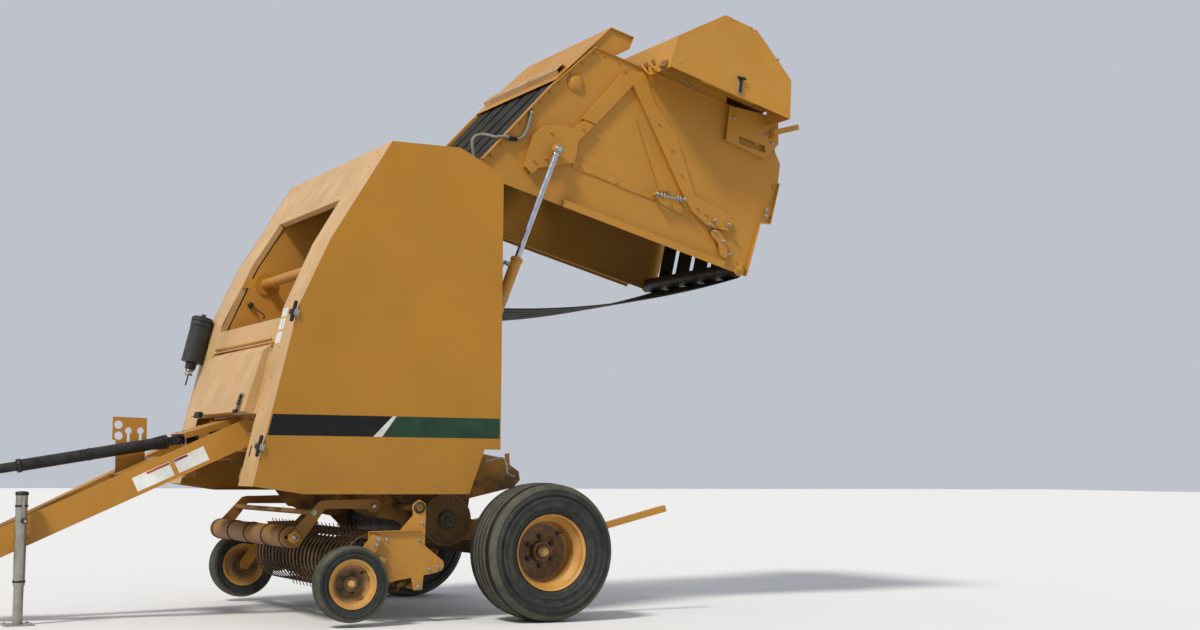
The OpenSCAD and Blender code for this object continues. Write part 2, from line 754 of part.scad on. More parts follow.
// Main wheels, drawn about the origin with the axle along Y and the outer side at +Y
module turned() {
    rotate([90, 0, 0]) rotate_extrude() children();
}
module tyre(r, w, bead, grooves) {
    rotate([90, 0, 0]) rotate_extrude($fn = 96) difference() {
        polygon([
            [bead, -w * 0.36], [bead + 22, -w * 0.42], [r * 0.74, -w / 2], [r * 0.85, -w / 2], [r * 0.955, -w * 0.42],
            [r * 0.99, -w * 0.34], [r, -w * 0.18], [r, w * 0.18], [r * 0.99, w * 0.34], [r * 0.955, w * 0.42],
            [r * 0.85, w / 2], [r * 0.74, w / 2], [bead + 22, w * 0.42], [bead, w * 0.36]
        ]);
        for (g = grooves) translate([r - 12, g * w - 5]) square([20, 10]);
        // Air space, open towards the rim
        polygon([
            [bead - 1, -w * 0.27], [bead + 24, -w * 0.34], [r * 0.75, -w * 0.44], [r * 0.85, -w * 0.44],
            [r * 0.93, -w * 0.34], [r * 0.93, w * 0.34], [r * 0.85, w * 0.44], [r * 0.75, w * 0.44],
            [bead + 24, w * 0.34], [bead - 1, w * 0.27]
        ]);
    }
}
// A rim with two bead seats, a drop centre and a deep disc; its hub reaches a fifth as far outside as inside
rim_t = 5;
module rim(r, w, bore_r, hub_w, dish) {
    rotate([-90, 0, 0]) rotate_extrude($fn = 96) polygon([
        [r + 8, w * 0.385 + 1], [r - seat, w * 0.36 + 1], [r - seat, w * 0.28], [r * 0.86, w * 0.18],
        [r * 0.86, -w * 0.18], [r - seat, -w * 0.28], [r - seat, -w * 0.36 - 1], [r + 8, -w * 0.385 - 1],
        [r + 8, -w * 0.40 - 3], [r - rim_t, -w * 0.37 - 2], [r - rim_t, -w * 0.29], [r * 0.86 - rim_t, -w * 0.19],
        [r * 0.86 - rim_t, -dish - 12], [r * 0.55, -dish - 22], [bore_r + 28, -dish - 14], [bore_r + 28, -hub_w],
        [bore_r + fit, -hub_w], [bore_r + fit, hub_w * 0.2], [bore_r + 26, hub_w * 0.2], [bore_r + 34, -dish - 4],
        [r * 0.55, -dish - 12], [r * 0.86 - rim_t, -dish - 2], [r * 0.86 - rim_t, w * 0.19], [r - rim_t, w * 0.29],
        [r - rim_t, w * 0.37 + 2], [r + 8, w * 0.40 + 3]
    ]);
}

// Tyres carry two grooves, and the lugs beside them are left to the finish
module main_tyre() {
    translate([0, track_half, axle_z]) tyre(tyre_r, tyre_w, rim_r, [-0.26, -0.1, 0.1, 0.26]);
}
module main_rim() {
    translate([0, track_half, axle_z]) rim(rim_r, tyre_w, spindle_r, hub_half, 20);
}
module tyre_left() { color(black) place() main_tyre(); }
module rim_left() { color(yellow) place() main_rim(); }
module tyre_right() { color(black) place() mirror([0, 1, 0]) main_tyre(); }
module rim_right() { color(yellow) place() mirror([0, 1, 0]) main_rim(); }

gauge_y = pickup_w / 2 + 52 + gauge_w / 2;
gauge_hub = 40;
gauge_out = gauge_hub * 0.2;
gauge_rim_r = 128;
gauge_pin_r = 15;
module gauge_tyre() {
    translate([gauge_c[0], gauge_y, gauge_c[1]]) tyre(gauge_r, gauge_w, gauge_rim_r, []);
}
module gauge_rim() {
    translate([gauge_c[0], gauge_y, gauge_c[1]]) rim(gauge_rim_r, gauge_w, gauge_pin_r, gauge_hub, 4);
}
module gauge_tyre_left() { color(black) place() gauge_tyre(); }
module gauge_rim_left() { color(yellow) place() gauge_rim(); }
module gauge_tyre_right() { color(black) place() mirror([0, 1, 0]) gauge_tyre(); }
module gauge_rim_right() { color(yellow) place() mirror([0, 1, 0]) gauge_rim(); }

// Pickup side plates with their pivot eyes, cross members and gauge wheel arms
pick_in = pickup_w / 2 - 6;
pick_out = pickup_w / 2;
reel_shaft_r = 25;
module pickup_frame() {
    outline = [
        [1005, 511], [820, 516], [742, 600], [738, 668], [704, 690], [668, 668], [664, 600], [668, 432], [556, 345],
        [548, 318], [560, 293], [600, 278], [880, 232], [1000, 300]
    ];
    color(yellow) place() union() {
        both_sides() {
            difference() {
                union() {
                    slab(pick_in, pick_out) polygon(outline);
                    slab(pick_in, pick_out) polygon([[672, 275], [680, 184], [732, 184], [748, 262]]);
                    rod_y(pick_pivot[0], pick_pivot[1], 36, pick_in - 16, pick_out);
                    rod_y(reel_c[0], reel_c[1], 48, pick_out - 1, pick_out + 14);
                }
                rod_y(pick_pivot[0], pick_pivot[1], 20 + fit, pick_in - 20, pick_out + 20);
                rod_y(reel_c[0], reel_c[1], reel_shaft_r + fit, pick_in - 20, pick_out + 10);
            }
            // Bevelled upper edge
            sheet([[1005, 511], [690, 517]], -4, pick_out - 1, pick_out + 18);
            // Arm and stub axle of the gauge wheel
            slab(pick_out + 22, pick_out + 34) polygon([
                [930, 480], [990, 500], [1170, 262], [1170, 216], [1126, 206], [1100, 240], [960, 420]
            ]);
            box([940, pick_out - 1, 440], [975, pick_out + 24, 480]);
            rod_y(gauge_c[0], gauge_c[1], gauge_pin_r, pick_out + 23, gauge_y + gauge_out + 5);
            rod_y(gauge_c[0], gauge_c[1], gauge_pin_r + 8, gauge_y + gauge_out + 2, gauge_y + gauge_out + 9);
        }
        rod_y(700, 462, 24, -pick_in - 1, pick_in + 1);
        rod_y(706, 205, 20, -pick_in - 1, pick_in + 1);
    }
}

// Stripper bands that wrap round the front of the reel and leave slots for the tines
band_pitch = 70;
band_gap = 40;
band_r = 170;
module stripper_bands() {
    path = concat([[690, 225 + seat], [724, 225 + seat], [762, reel_c[1] - band_r + 8]],
        arc(reel_c, band_r, -90, 90, 12), [[762, reel_c[1] + band_r - 1], [724, 489 + seat], [690, 489 + seat]]);
    color(dirty) place() for (i = [0:tine_n])
        sheet(path, 3, (i - tine_n / 2) * band_pitch - (band_pitch - band_gap) / 2,
            (i - tine_n / 2) * band_pitch + (band_pitch - band_gap) / 2);
}

// Reel: shaft, end discs, tine bars and tines
bar_at = 118;
bar_r = 14;
module pickup_reel() {
    half = pick_in - 14;
    color(dark) place() translate([reel_c[0], 0, reel_c[1]]) union() {
        rod_y(0, 0, reel_shaft_r, -pick_out, pick_out);
        for (y = [-half, -300, 300, half - 8]) rod_y(0, 0, bar_at + bar_r + 4, y, y + 8);
        for (b = [0:bar_n - 1]) rotate([0, 360 * b / bar_n + 20, 0]) {
            translate([0, 0, bar_at]) rod_y(0, 0, bar_r, -half, half);
            for (t = [0:tine_n - 1]) translate([0, (t - (tine_n - 1) / 2) * band_pitch, bar_at])
                cylinder(d = tine_d, h = tine_r - bar_at, $fn = 6);
        }
    }
}

// Crop press in front of the pickup: bent arms, cross rod and roller
module press_arms() {
    outline = [
        [872, 636], [1196, 636], [1352, 424], [1398, 446], [1410, 486], [1232, 676], [1200, 684], [1150, 684],
        [900, 690], [872, 676]
    ];
    color(dirty) place() union() {
        both_sides() difference() {
            union() {
                slab(press_y, press_y + 12) polygon(outline);
                rod_y(press_pivot[0], press_pivot[1], 34, press_y - 12, press_y + 12);
            }
            rod_y(press_pivot[0], press_pivot[1], 16 + fit, press_y - 20, press_y + 20);
            rod_y(press_c[0], press_c[1], 12 + fit, press_y - 20, press_y + 20);
        }
        rod_y(1262, 616, 15, -press_y - 1, press_y + 1);
    }
}
module press_roller() {
    color(dirty) place() drum(press_c, press_r, press_y - 16, 12, press_y + 11);
}

// Tailgate side plates with hinge bosses, flanges and the cylinder brackets
bracket_outline = [
    [-173, 2294], [-261, 2233], [-310, 2125], [-304, 2053], [-386, 1988], [-380, 1918], [-235, 1999],
    [-158, 1986], [-100, 1990], [12, 2208], [65, 2245], [36, 2296]
];
// A closed outline drawn smaller by t; its points run anticlockwise
function inset(p, t) = [
    for (i = [0:len(p) - 1])
        let (a = unit(p[i] - p[(i + len(p) - 1) % len(p)]), b = unit(p[(i + 1) % len(p)] - p[i]),
             m = unit(left_of(a) + left_of(b)))
        p[i] + m * (t / (m * left_of(a)))
];
module tailgate_sides() {
    color(yellow) place() raised() both_sides() union() {
        difference() {
            union() {
                slab(gate_in_y, gate_y) {
                    polygon(gate_outline);
                    translate([hinge_x, hinge_z]) circle(r = lobe_r);
                }
                rod_y(hinge_x, hinge_z, hinge_r + 30, gate_y - 1, gate_y + 19);
            }
            rod_y(hinge_x, hinge_z, hinge_r + fit, gate_in_y - 10, gate_y + 30);
        }
        // Edge strips
        sheet([[84, 2578], [-521, 2263], [-875, 2036]], 6, gate_y - 1, gate_y + 30);
        sheet([[-875, 2030], [-875, 745], [-710, 590]], 5, gate_y - 1, gate_y + 14);
        sheet([[-500, 503], [-215, 500], [-200, 576], [gate_front_x, 591]], 5, gate_y - 1, gate_y + 24);
        // Front beam, open to the rear
        box([gate_front_x - 5, gate_y - 1, 782], [gate_front_x, gate_y + 42, 1990]);
        box([gate_front_x - 32, gate_y + 38, 782], [gate_front_x + 14, gate_y + 42, 1990]);
        // Box under the cylinder pin
        difference() {
            slab(gate_y - 1, cyl_bracket_y) polygon(bracket_outline);
            slab(gate_y - 2, cyl_bracket_y - 6) polygon(inset(bracket_outline, 6));
        }
    }
}
cyl_bracket_y = 650;

// Raised stiffeners, linkage and stubs on the outside of the tailgate plates
brace_t = 4;
// From the rear apex down to the linkage, and from the apex up to the cylinder bracket
long_brace = [
    [-804, 1788], [-842, 1671], [-662, 1529], [-641, 1495], [-550, 1359], [-506, 1319], [-198, 1104],
    [-187, 950], [-178, 859], [-137, 783], [-60, 800], [-40, 957], [-98, 1105], [-195, 1207]
];
short_brace = [[-815, 1675], [-394, 1905], [-394, 2002], [-776, 1810]];
tension_rod = [[-137, 1188], [-105, 1386]];
slot_plate = [[-860, 1014], [-918, 637], [-744, 591], [-612, 665], [-632, 982]];
module tailgate_braces() {
    face_y = gate_y + 28;
    stud_y = gate_y + 66;
    color(yellow) place() raised() both_sides() {
        union() {
            difference() {
                slab(gate_y + seat, face_y) union() {
                    polygon(long_brace);
                    polygon(short_brace);
                }
                slab(gate_y, face_y - brace_t) polygon(inset(long_brace, brace_t));
                slab(gate_y, face_y - brace_t) polygon(inset(short_brace, brace_t));
            }
            for (c = [[-86, 929], [-96, 822]]) rod_y(c[0], c[1], 12, face_y - 2, face_y + 20);
        }
        // Flat strip from the cylinder bracket to the linkage, with the upper stud of the tension rod, and a wedge
        union() {
            slab(gate_y + seat, gate_y + 8) polygon([
                [-50, 1135], [-79, 1373], [-75, 1553], [-82, 1788], [-77, 1981], [-136, 1979], [-136, 1847],
                [-107, 1494], [-110, 1169]
            ]);
            rod_y(tension_rod[1][0], tension_rod[1][1], 14, gate_y + seat, stud_y);
            rod_y(tension_rod[0][0], tension_rod[0][1], 14, gate_y + seat, stud_y);
            translate([tension_rod[0][0], gate_y + 52, tension_rod[0][1]])
                rotate([0, atan2(tension_rod[1][0] - tension_rod[0][0], tension_rod[1][1] - tension_rod[0][1]), 0])
                    cylinder(r = 11, h = norm(tension_rod[1] - tension_rod[0]));
        }
        slab(gate_y + seat, gate_y + 12) polygon([[-539, 1630], [-457, 1538], [-168, 1283], [-143, 1351]]);
        // Slotted bracket, with the square stub at the rear corner on its spacer
        union() {
            slab(gate_y + 34, gate_y + 40) difference() {
                polygon(slot_plate);
                polygon([[-691, 892], [-698, 690], [-652, 672], [-641, 888]]);
            }
            slab(gate_y + seat, gate_y + 36) polygon([[-612, 665], [-632, 982], [-640, 982], [-620, 665]]);
            sheet([stub_foot, stub_tip], stub_w, stub_y, stub_y + stub_w);
            slab(gate_y + 14 + seat, stub_y + 1) polygon([[-800, 686], [-836, 640], [-800, 618], [-760, 660]]);
        }
    }
}
stub_y = 682;

// Tubes between the tailgate plates
module tailgate_cross() {
    half = gate_in_y - seat;
    t = 5;
    color(yellow) place() raised() {
        for (b = [[-856, 1868, 56, 56], [-868, 1010, 36, 70], [-560, 512, 60, 40]]) difference() {
            box([b[0], -half, b[1]], [b[0] + b[2], half, b[1] + b[3]]);
            box([b[0] + t, -half - 1, b[1] + t], [b[0] + b[2] - t, half + 1, b[1] + b[3] - t]);
        }
        difference() {
            rod_y(-180, 2330, 30, -half, half);
            rod_y(-180, 2330, 25, -half - 1, half + 1);
        }
    }
}

// Hood over the front of the raised tailgate, with a hollow rib across it
hood_path = [[-573, 2239], [-1041, 1960], [-1043, 1787], [-954, 1799], [-894, 1866]];
hood_run = unit(hood_path[1] - hood_path[0]);
// A point on the hood, a along its slope and h above it
function hood_at(a, h) = hood_path[0] + hood_run * a - left_of(hood_run) * h;
module tailgate_hood() {
    rib = [hood_at(70, -2), hood_at(76, 32), hood_at(140, 32), hood_at(147, -2)];
    path = hood_path;
    color(yellow) place() raised() union() {
        sheet(path, sheet_t, -620, 620);
        difference() {
            slab(-560, 560) polygon(rib);
            slab(-561, 561) polygon([hood_at(76, 3), hood_at(81, 28), hood_at(135, 28), hood_at(141, 3)]);
        }
        both_sides() slab(gate_in_y - seat - 5, gate_in_y - seat) polygon([
            [-720, 2148], [-1039, 1958], [-1041, 1789], [-954, 1800], [-890, 1868], [-860, 1940], [-730, 2040]
        ]);
    }
}

// Box for twine and net across the rear of the tailgate
box_outline = [[-829, 1637], [-1047, 1630], [-1302, 1347], [-1294, 1098], [-1076, 770], [-825, 713]];
rear_hinge = [-1296, shield_y - 8];
rear_eye_r = 7;
module net_box() {
    color(yellow) place() raised() union() {
        difference() {
            union() {
                sheet(box_outline, sheet_t, -cover_y, cover_y);
                both_sides() slab(gate_y + seat, gate_y + 6) polygon(box_outline);
            }
            box([-900, -gate_y - seat, 600], [-700, gate_y + seat, 1800]);
            both_sides() box([-876, gate_y - 2, 600], [-700, gate_y + 20, 1800]);
            // Room for the slotted bracket, and for the hinges of the rear shields
            both_sides() box([-925, gate_y - 2, 600], [-800, gate_y + 46, 1030]);
            both_sides() box([-1310, cover_y - 8, 1085], [-1285, cover_y + 1, 1352]);
        }
        // Inner cheeks bolted to the plates, and a shelf
        box([-1290, -cover_y + 9, 1210], [-1000, cover_y - 9, 1214]);
        both_sides() slab(cover_y - 24, cover_y - 8) polygon([[-1294, 1098], [-1302, 1347], [-1280, 1347], [-1272, 1098]]);
        both_sides() for (z = rear_lugs) {
            box([rear_hinge[0] - 6, cover_y - 22, z], [rear_hinge[0] + 10, rear_hinge[1] + 4, z + 16]);
            post(rear_hinge[0], rear_hinge[1], 4, z + 8, z + 44);
        }
    }
}
rear_lugs = [1130, 1290];

// Rear side shields: panels over the ends of the box, hung at their rear edge
module rear_shield() {
    in = shield_y - sheet_t;
    raised() union() {
        difference() {
            slab(in, shield_y) polygon(box_outline);
            box([rear_hinge[0] - 20, in - 1, 1080], [rear_hinge[0] - 3, shield_y + 1, 1360]);
            for (z = rear_lugs)
                box([rear_hinge[0] - 20, in - 1, z - air], [rear_hinge[0] + 14, shield_y + 1, z + 16 + seat]);
        }
        for (z = rear_lugs) difference() {
            union() {
                post(rear_hinge[0], rear_hinge[1], rear_eye_r, z + 16 + seat, z + 40);
                box([rear_hinge[0], in, z + 16 + seat], [rear_hinge[0] + 30, shield_y, z + 40]);
            }
            post(rear_hinge[0], rear_hinge[1], 4 + fit, z, z + 60);
        }
        bar([-1070, 779], [-830, 725], 3, in - 16, in + 1);
        bar([-829, 1400], [-829, 1000], 3, in - 16, in + 1);
    }
}
module rear_shield_left() { color(yellow) place() rear_shield(); }
module rear_shield_right() { color(yellow) place() mirror([0, 1, 0]) rear_shield(); }

module tailgate_rollers() {
    color(dark) place() raised() for (r = [top_roller, rear_roller, low_roller])
        drum(r[0], r[1], in_y - 18, min(28, r[1] * 0.4), gate_in_y - seat);
}

// Belts on the tailgate's rollers, from the low roller round to the hinge
module tailgate_belts() {
    a0 = slack_to + open_deg;
    a1 = turn(a0, leave(low_roller, rear_roller));
    a2 = turn(a1, leave(rear_roller, top_roller));
    a3 = turn(a2, top_deg + open_deg);
    path = concat(wrap(low_roller, a0, a1), wrap(rear_roller, a1, a2), wrap(top_roller, a2, a3), [lower(run_at(0.48))]);
    color(black) place() raised() belts(path);
}

// Lift cylinders, drawn along their own line from the foot pin
rod_r = 20;
piston_r = 27;
piston_at = barrel_len - 120;
rod_len = cyl_len - piston_at;
module along_cylinder() {
    place() both_sides() translate([cyl_foot[0], cyl_y, cyl_foot[1]]) rotate([0, cyl_tilt, 0]) children();
}
module cylinder_barrels() {
    color(yellow) along_cylinder() difference() {
        union() {
            rotate([-90, 0, 0]) translate([0, 0, -20]) cylinder(r = 34, h = 40);
            translate([0, 0, 25]) cylinder(r = 30, h = 40);
            translate([0, 0, 55]) cylinder(r = 34, h = barrel_len - 55);
        }
        rotate([-90, 0, 0]) translate([0, 0, -30]) cylinder(r = 16 + fit, h = 60);
        translate([0, 0, 80]) cylinder(r = piston_r, h = barrel_len - 110);
        translate([0, 0, 80]) cylinder(r = rod_r + fit, h = barrel_len);
    }
}
module cylinder_rods() {
    color(steel) along_cylinder() union() {
        translate([0, 0, cyl_len - rod_len]) cylinder(r = rod_r, h = rod_len - 20);
        translate([0, 0, cyl_len - rod_len]) cylinder(r = piston_r - fit, h = 50);
        translate([0, 0, cyl_len]) rotate([-90, 0, 0]) translate([0, 0, -18]) cylinder(r = 34, h = 36);
        translate([0, 0, cyl_len]) rotate([-90, 0, 0]) translate([0, 0, cyl_bracket_y + 3 - cyl_y])
            cylinder(r = 16, h = 50 + cyl_y - cyl_bracket_y - 25);
    }
}

main_frame();
frame_beams();
axle();
tongue();
tongue_plates();
hitch_clevis();
gearbox();
driveline_rest();
front_cover();
front_door();
opening_tube();
hose_plate();
canister();
chamber_rollers();
roller_drive();
belt_run();
guide_arms();
jack_leg();
jack_foot();
driveline_rear();
driveline_front();
front_shield_left();
front_shield_right();
tyre_left();
rim_left();
tyre_right();
rim_right();
pickup_frame();
stripper_bands();
pickup_reel();
gauge_tyre_left();
gauge_rim_left();
gauge_tyre_right();
gauge_rim_right();
press_arms();
press_roller();
tailgate_sides();
tailgate_braces();
tailgate_cross();
tailgate_hood();
net_box();
rear_shield_left();
rear_shield_right();
tailgate_rollers();
tailgate_belts();
cylinder_barrels();
cylinder_rods();
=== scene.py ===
"""Looks of the round baler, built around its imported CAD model. Metres, +X forward, +Y left, +Z up."""
import math

import bmesh
import bpy
from mathutils import Matrix, Vector


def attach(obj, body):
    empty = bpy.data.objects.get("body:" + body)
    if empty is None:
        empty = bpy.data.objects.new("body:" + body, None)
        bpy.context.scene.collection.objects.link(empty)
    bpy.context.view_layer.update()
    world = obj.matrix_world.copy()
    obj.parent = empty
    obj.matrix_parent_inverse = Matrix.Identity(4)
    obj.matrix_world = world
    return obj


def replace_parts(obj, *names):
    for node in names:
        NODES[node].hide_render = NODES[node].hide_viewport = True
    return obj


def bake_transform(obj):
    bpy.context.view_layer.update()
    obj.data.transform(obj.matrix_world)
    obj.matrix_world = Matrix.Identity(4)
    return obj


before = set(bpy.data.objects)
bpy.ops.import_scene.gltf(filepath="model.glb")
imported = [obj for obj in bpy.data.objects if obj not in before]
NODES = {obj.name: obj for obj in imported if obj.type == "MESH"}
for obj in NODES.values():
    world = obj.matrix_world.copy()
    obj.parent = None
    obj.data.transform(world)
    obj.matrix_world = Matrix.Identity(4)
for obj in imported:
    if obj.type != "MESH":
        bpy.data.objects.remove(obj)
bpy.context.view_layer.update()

# The machine's own X runs from the wheel axle, in millimetres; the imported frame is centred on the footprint
SHIFT = -0.672778
MM = 0.001
SIDES = (("left", 1), ("right", -1))
X_DIR, Y_DIR, Z_DIR = Vector((1, 0, 0)), Vector((0, 1, 0)), Vector((0, 0, 1))
# Each side's sign, with the direction that leads out of the machine there
OUTWARD = ((1, Y_DIR), (-1, -Y_DIR))

# Main sizes, as in the CAD source: distances from the middle plane, and places in X and Z
PLATE_Y = 598
GATE_Y = 612
COVER_Y = 926
SHIELD_Y = 936
OPEN_DEG = 75
HINGE = (250, 2576)
AXLE_Z = 394
TRACK_HALF = 1077
GAUGE = (1140, 235)
GAUGE_Y = 1052
REEL = (940, 330)
TINE_PITCH = 70
TINES = 24
TINE_BARS = 4
FLOOR_ROLLER = (455, 570)
STARTER_ROLLERS = ((880, 900), (1030, 1135))
PRESS_ROLLER = (1378, 480)
PRESS_Y = 772
PICKUP_Y = 950
CYL_Y = 697
CYL_FOOT = (319, 1300)
CYL_PIN = (-125, 2137)
FRONT_PATH = [(1662, 762), (1426, 1764), (1249, 2149), (897, 2727)]
DOOR_LOW, DOOR_HIGH = (1628, 1179), (1520, 1529)
# The tongue beams' outer face and top edge, at the axle's X and their change with X
TONGUE_HALF, TONGUE_YAW = 655, -0.194
TONGUE_TOP, TONGUE_DIP = 1886, -0.481
JOINT = (1850, 1020)
LINE_DIP = 10
JACK = (2740, 205)


# Places

def at(x, y, z):
    """A point counted from the wheel axle in millimetres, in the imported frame."""
    return Vector((x * MM + SHIFT, y * MM, z * MM))


def off(point, *moves):
    """The point moved; moves are a direction, its millimetres, the next direction and so on."""
    for direction, distance in zip(moves[::2], moves[1::2]):
        point = point + direction * (distance * MM)
    return point


def raised(dx, dz):
    """A step in X and Z on the closed tailgate, turned as the raised one is."""
    c, s = math.cos(math.radians(OPEN_DEG)), math.sin(math.radians(OPEN_DEG))
    return dx * c + dz * s, dz * c - dx * s


def lift(x, z):
    """A closed tailgate point (X, Z) in the raised position, in millimetres."""
    dx, dz = raised(x - HINGE[0], z - HINGE[1])
    return HINGE[0] + dx, HINGE[1] + dz


def gate(x, y, z):
    """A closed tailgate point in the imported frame, with the tailgate raised."""
    rx, rz = lift(x, z)
    return at(rx, y, rz)


def gate_dir(dx, dz):
    rx, rz = raised(dx, dz)
    return Vector((rx, 0, rz))


def front_span(z):
    """The straight stretch of the front cover's side view that holds height z."""
    for low, high in zip(FRONT_PATH, FRONT_PATH[1:]):
        if z <= high[1]:
            break
    return low, high


def front_x(z):
    (x0, z0), (x1, z1) = front_span(z)
    return x0 + (x1 - x0) * (z - z0) / (z1 - z0)


def front_dir(z):
    """Unit vector up the front cover's slope at height z."""
    (x0, z0), (x1, z1) = front_span(z)
    return Vector((x1 - x0, 0, z1 - z0)).normalized()


def front_out(z):
    d = front_dir(z)
    return Vector((d.z, 0, -d.x))


def front_at(y, z, out=0.0):
    """A point on the front cover, lifted off it by out millimetres."""
    return off(at(front_x(z), y, z), front_out(z), out)


def front_length(z0, z1):
    """Distance up the slope between two heights, in millimetres."""
    return (front_at(0, z1) - front_at(0, z0)).length / MM


def angles(n, start=0.0):
    """n angles evenly round a circle, in radians."""
    return [start + 2 * math.pi * k / n for k in range(n)]


def rect(a0, a1, b0, b1):
    return [(a0, b0), (a1, b0), (a1, b1), (a0, b1)]


# Materials

def shade(colour, k=1.0):
    """An sRGB colour of 0 to 255 as linear light, k times as bright."""
    parts = [c / 255 for c in colour]
    return tuple(k * (c / 12.92 if c <= 0.04045 else ((c + 0.055) / 1.055) ** 2.4) for c in parts) + (1.0,)


class Graph:
    """Small helper for procedural node materials."""

    def __init__(self, name):
        self.mat = bpy.data.materials.new(name)
        self.mat.use_nodes = True
        self.tree = self.mat.node_tree
        self.coord = self.add("TexCoord", {}, "Object")

    def feed(self, node, inputs):
        """Each input is a socket to link, or a value for the node's own socket."""
        for key, value in inputs.items():
            if isinstance(value, bpy.types.NodeSocket):
                self.tree.links.new(value, node.inputs[key])
            else:
                node.inputs[key].default_value = value

    def add(self, kind, inputs, output=0, **settings):
        """Makes a node and gives back one of its outputs."""
        node = self.tree.nodes.new("ShaderNode" + kind)
        for key, value in settings.items():
            setattr(node, key, value)
        self.feed(node, inputs)
        return node.outputs[output]

    def noise(self, scale, detail, stretch=(1, 1, 1), rough=0.55):
        place = self.add("Mapping", {"Vector": self.coord, "Scale": stretch})
        inputs = {"Vector": place, "Scale": scale, "Detail": detail, "Roughness": rough}
        return self.add("TexNoise", inputs, "Fac")

    def ramp(self, value, *stops):
        """stops are a place and a linear colour."""
        out = self.add("ValToRGB", {"Fac": value}, "Color")
        elements = out.node.color_ramp.elements
        while len(elements) < len(stops):
            elements.new(0.5)
        for element, (place, colour) in zip(elements, stops):
            element.position = place
            element.color = colour
        return out

    def spread(self, value, low, high, to_low=0.0, to_high=1.0):
        return self.add("MapRange", {"Value": value, "From Min": low, "From Max": high,
                                     "To Min": to_low, "To Max": to_high})

    def patches(self, scale, detail, low, high, to_low=0.0, to_high=1.0):
        """Noise, spread so that it runs from to_low to to_high between low and high."""
        return self.spread(self.noise(scale, detail), low, high, to_low, to_high)

    def times(self, a, b):
        return self.add("Math", {0: a, 1: b}, operation="MULTIPLY")

    def mix(self, mask, under, over):
        """over is a socket or an sRGB colour."""
        over = shade(over) if isinstance(over, tuple) else over
        return self.add("Mix", {0: mask, 6: under, 7: over}, 2, data_type="RGBA")

    def part(self, vector, i):
        return self.add("SeparateXYZ", {0: vector}, i)

    def done(self, colour, rough, bump, metallic=0.0, specular=0.5):
        """bump is its height, strength and distance."""
        height, strength, distance = bump
        normal = self.add("Bump", {"Height": height, "Strength": strength, "Distance": distance})
        self.feed(self.tree.nodes["Principled BSDF"], {
            "Base Color": colour, "Roughness": rough, "Metallic": metallic,
            "Specular IOR Level": specular, "Normal": normal,
        })
        return self.mat


def paint(name, colour, dust_colour, dust=0.5, dirt_and_shade_colour=None, dirt_and_shade_z=(0.3, 0.9), dirt_and_shade=0.9,
          rough=(0.38, 0.7)):
    """Paint with faded patches, dust that settles on what faces up, specks, and darkening towards the ground:
    dirt, and inside the chamber also painted shade.
    """
    g = Graph(name)
    faded = g.noise(1.7, 4.0)
    tone = g.ramp(faded, (0.30, shade(colour, 0.90)), (0.55, shade(colour)), (0.78, shade(colour, 1.08)))
    film = g.patches(5.5, 5.0, 0.40, 0.78)
    up = g.part(g.add("NewGeometry", {}, "Normal"), 2)
    settled = g.times(g.spread(up, -0.1, 0.95, 0.25, 1.0), film)
    tone = g.mix(g.times(settled, dust), tone, dust_colour)
    tone = g.mix(g.times(g.patches(170.0, 2.0, 0.66, 0.74), dust * 0.8), tone, dust_colour)
    # Darker towards the ground: dirt, and inside the chamber painted shade as well
    if dirt_and_shade_colour:
        low = g.spread(g.part(g.coord, 2), dirt_and_shade_z[1], dirt_and_shade_z[0])
        dirt_and_shade_patches = g.patches(7.0, 6.0, 0.25, 0.62)
        tone = g.mix(g.times(g.times(low, dirt_and_shade_patches), dirt_and_shade), tone, dirt_and_shade_colour)
    return g.done(tone, g.spread(film, 0.0, 1.0, *rough), (g.noise(420.0, 2.0), 0.06, 0.0006), specular=0.35)


def metal(name, colour, stain, rough=(0.28, 0.5), metallic=0.9, scratch=(1, 1, 1)):
    g = Graph(name)
    streaks = g.noise(14.0, 5.0, scratch)
    tone = g.ramp(streaks, (0.30, shade(colour, 0.8)), (0.6, shade(colour)), (0.8, shade(colour, 1.1)))
    tone = g.mix(g.times(g.patches(9.0, 5.0, 0.52, 0.72), 0.6), tone, stain)
    bump = (g.noise(300.0, 2.0, scratch), 0.08, 0.0005)
    return g.done(tone, g.patches(25.0, 3.0, 0.3, 0.7, *rough), bump, metallic)


def rubber(name, colour, dust_colour, dust=0.5, grain=160.0, rough=(0.6, 0.9)):
    g = Graph(name)
    tone = g.ramp(g.noise(6.0, 4.0), (0.3, shade(colour, 0.75)), (0.7, shade(colour, 1.25)))
    film = g.times(g.patches(18.0, 5.0, 0.42, 0.68), dust)
    tone = g.mix(film, tone, dust_colour)
    return g.done(tone, g.spread(film, 0.0, 1.0, *rough), (g.noise(grain, 3.0), 0.15, 0.001), specular=0.25)


def decal(name, colour, dust_colour, dust, smooth=0.35):
    return rubber(name, colour, dust_colour, dust, 60.0, (smooth, 0.5))


def belt_rubber(name):
    """Woven belt rubber: streaks along the run, so they change across Y only."""
    g = Graph(name)
    streaks = g.noise(1.0, 3.0, (3, 260, 3), 0.7)
    dark, middle, pale = shade((20, 21, 18)), shade((35, 36, 31)), shade((66, 66, 56))
    tone = g.ramp(streaks, (0.35, dark), (0.58, middle), (0.74, pale))
    tone = g.mix(g.times(g.patches(9.0, 5.0, 0.45, 0.75), 0.35), tone, (82, 76, 54))
    return g.done(tone, 0.7, (streaks, 0.5, 0.0015), specular=0.2)


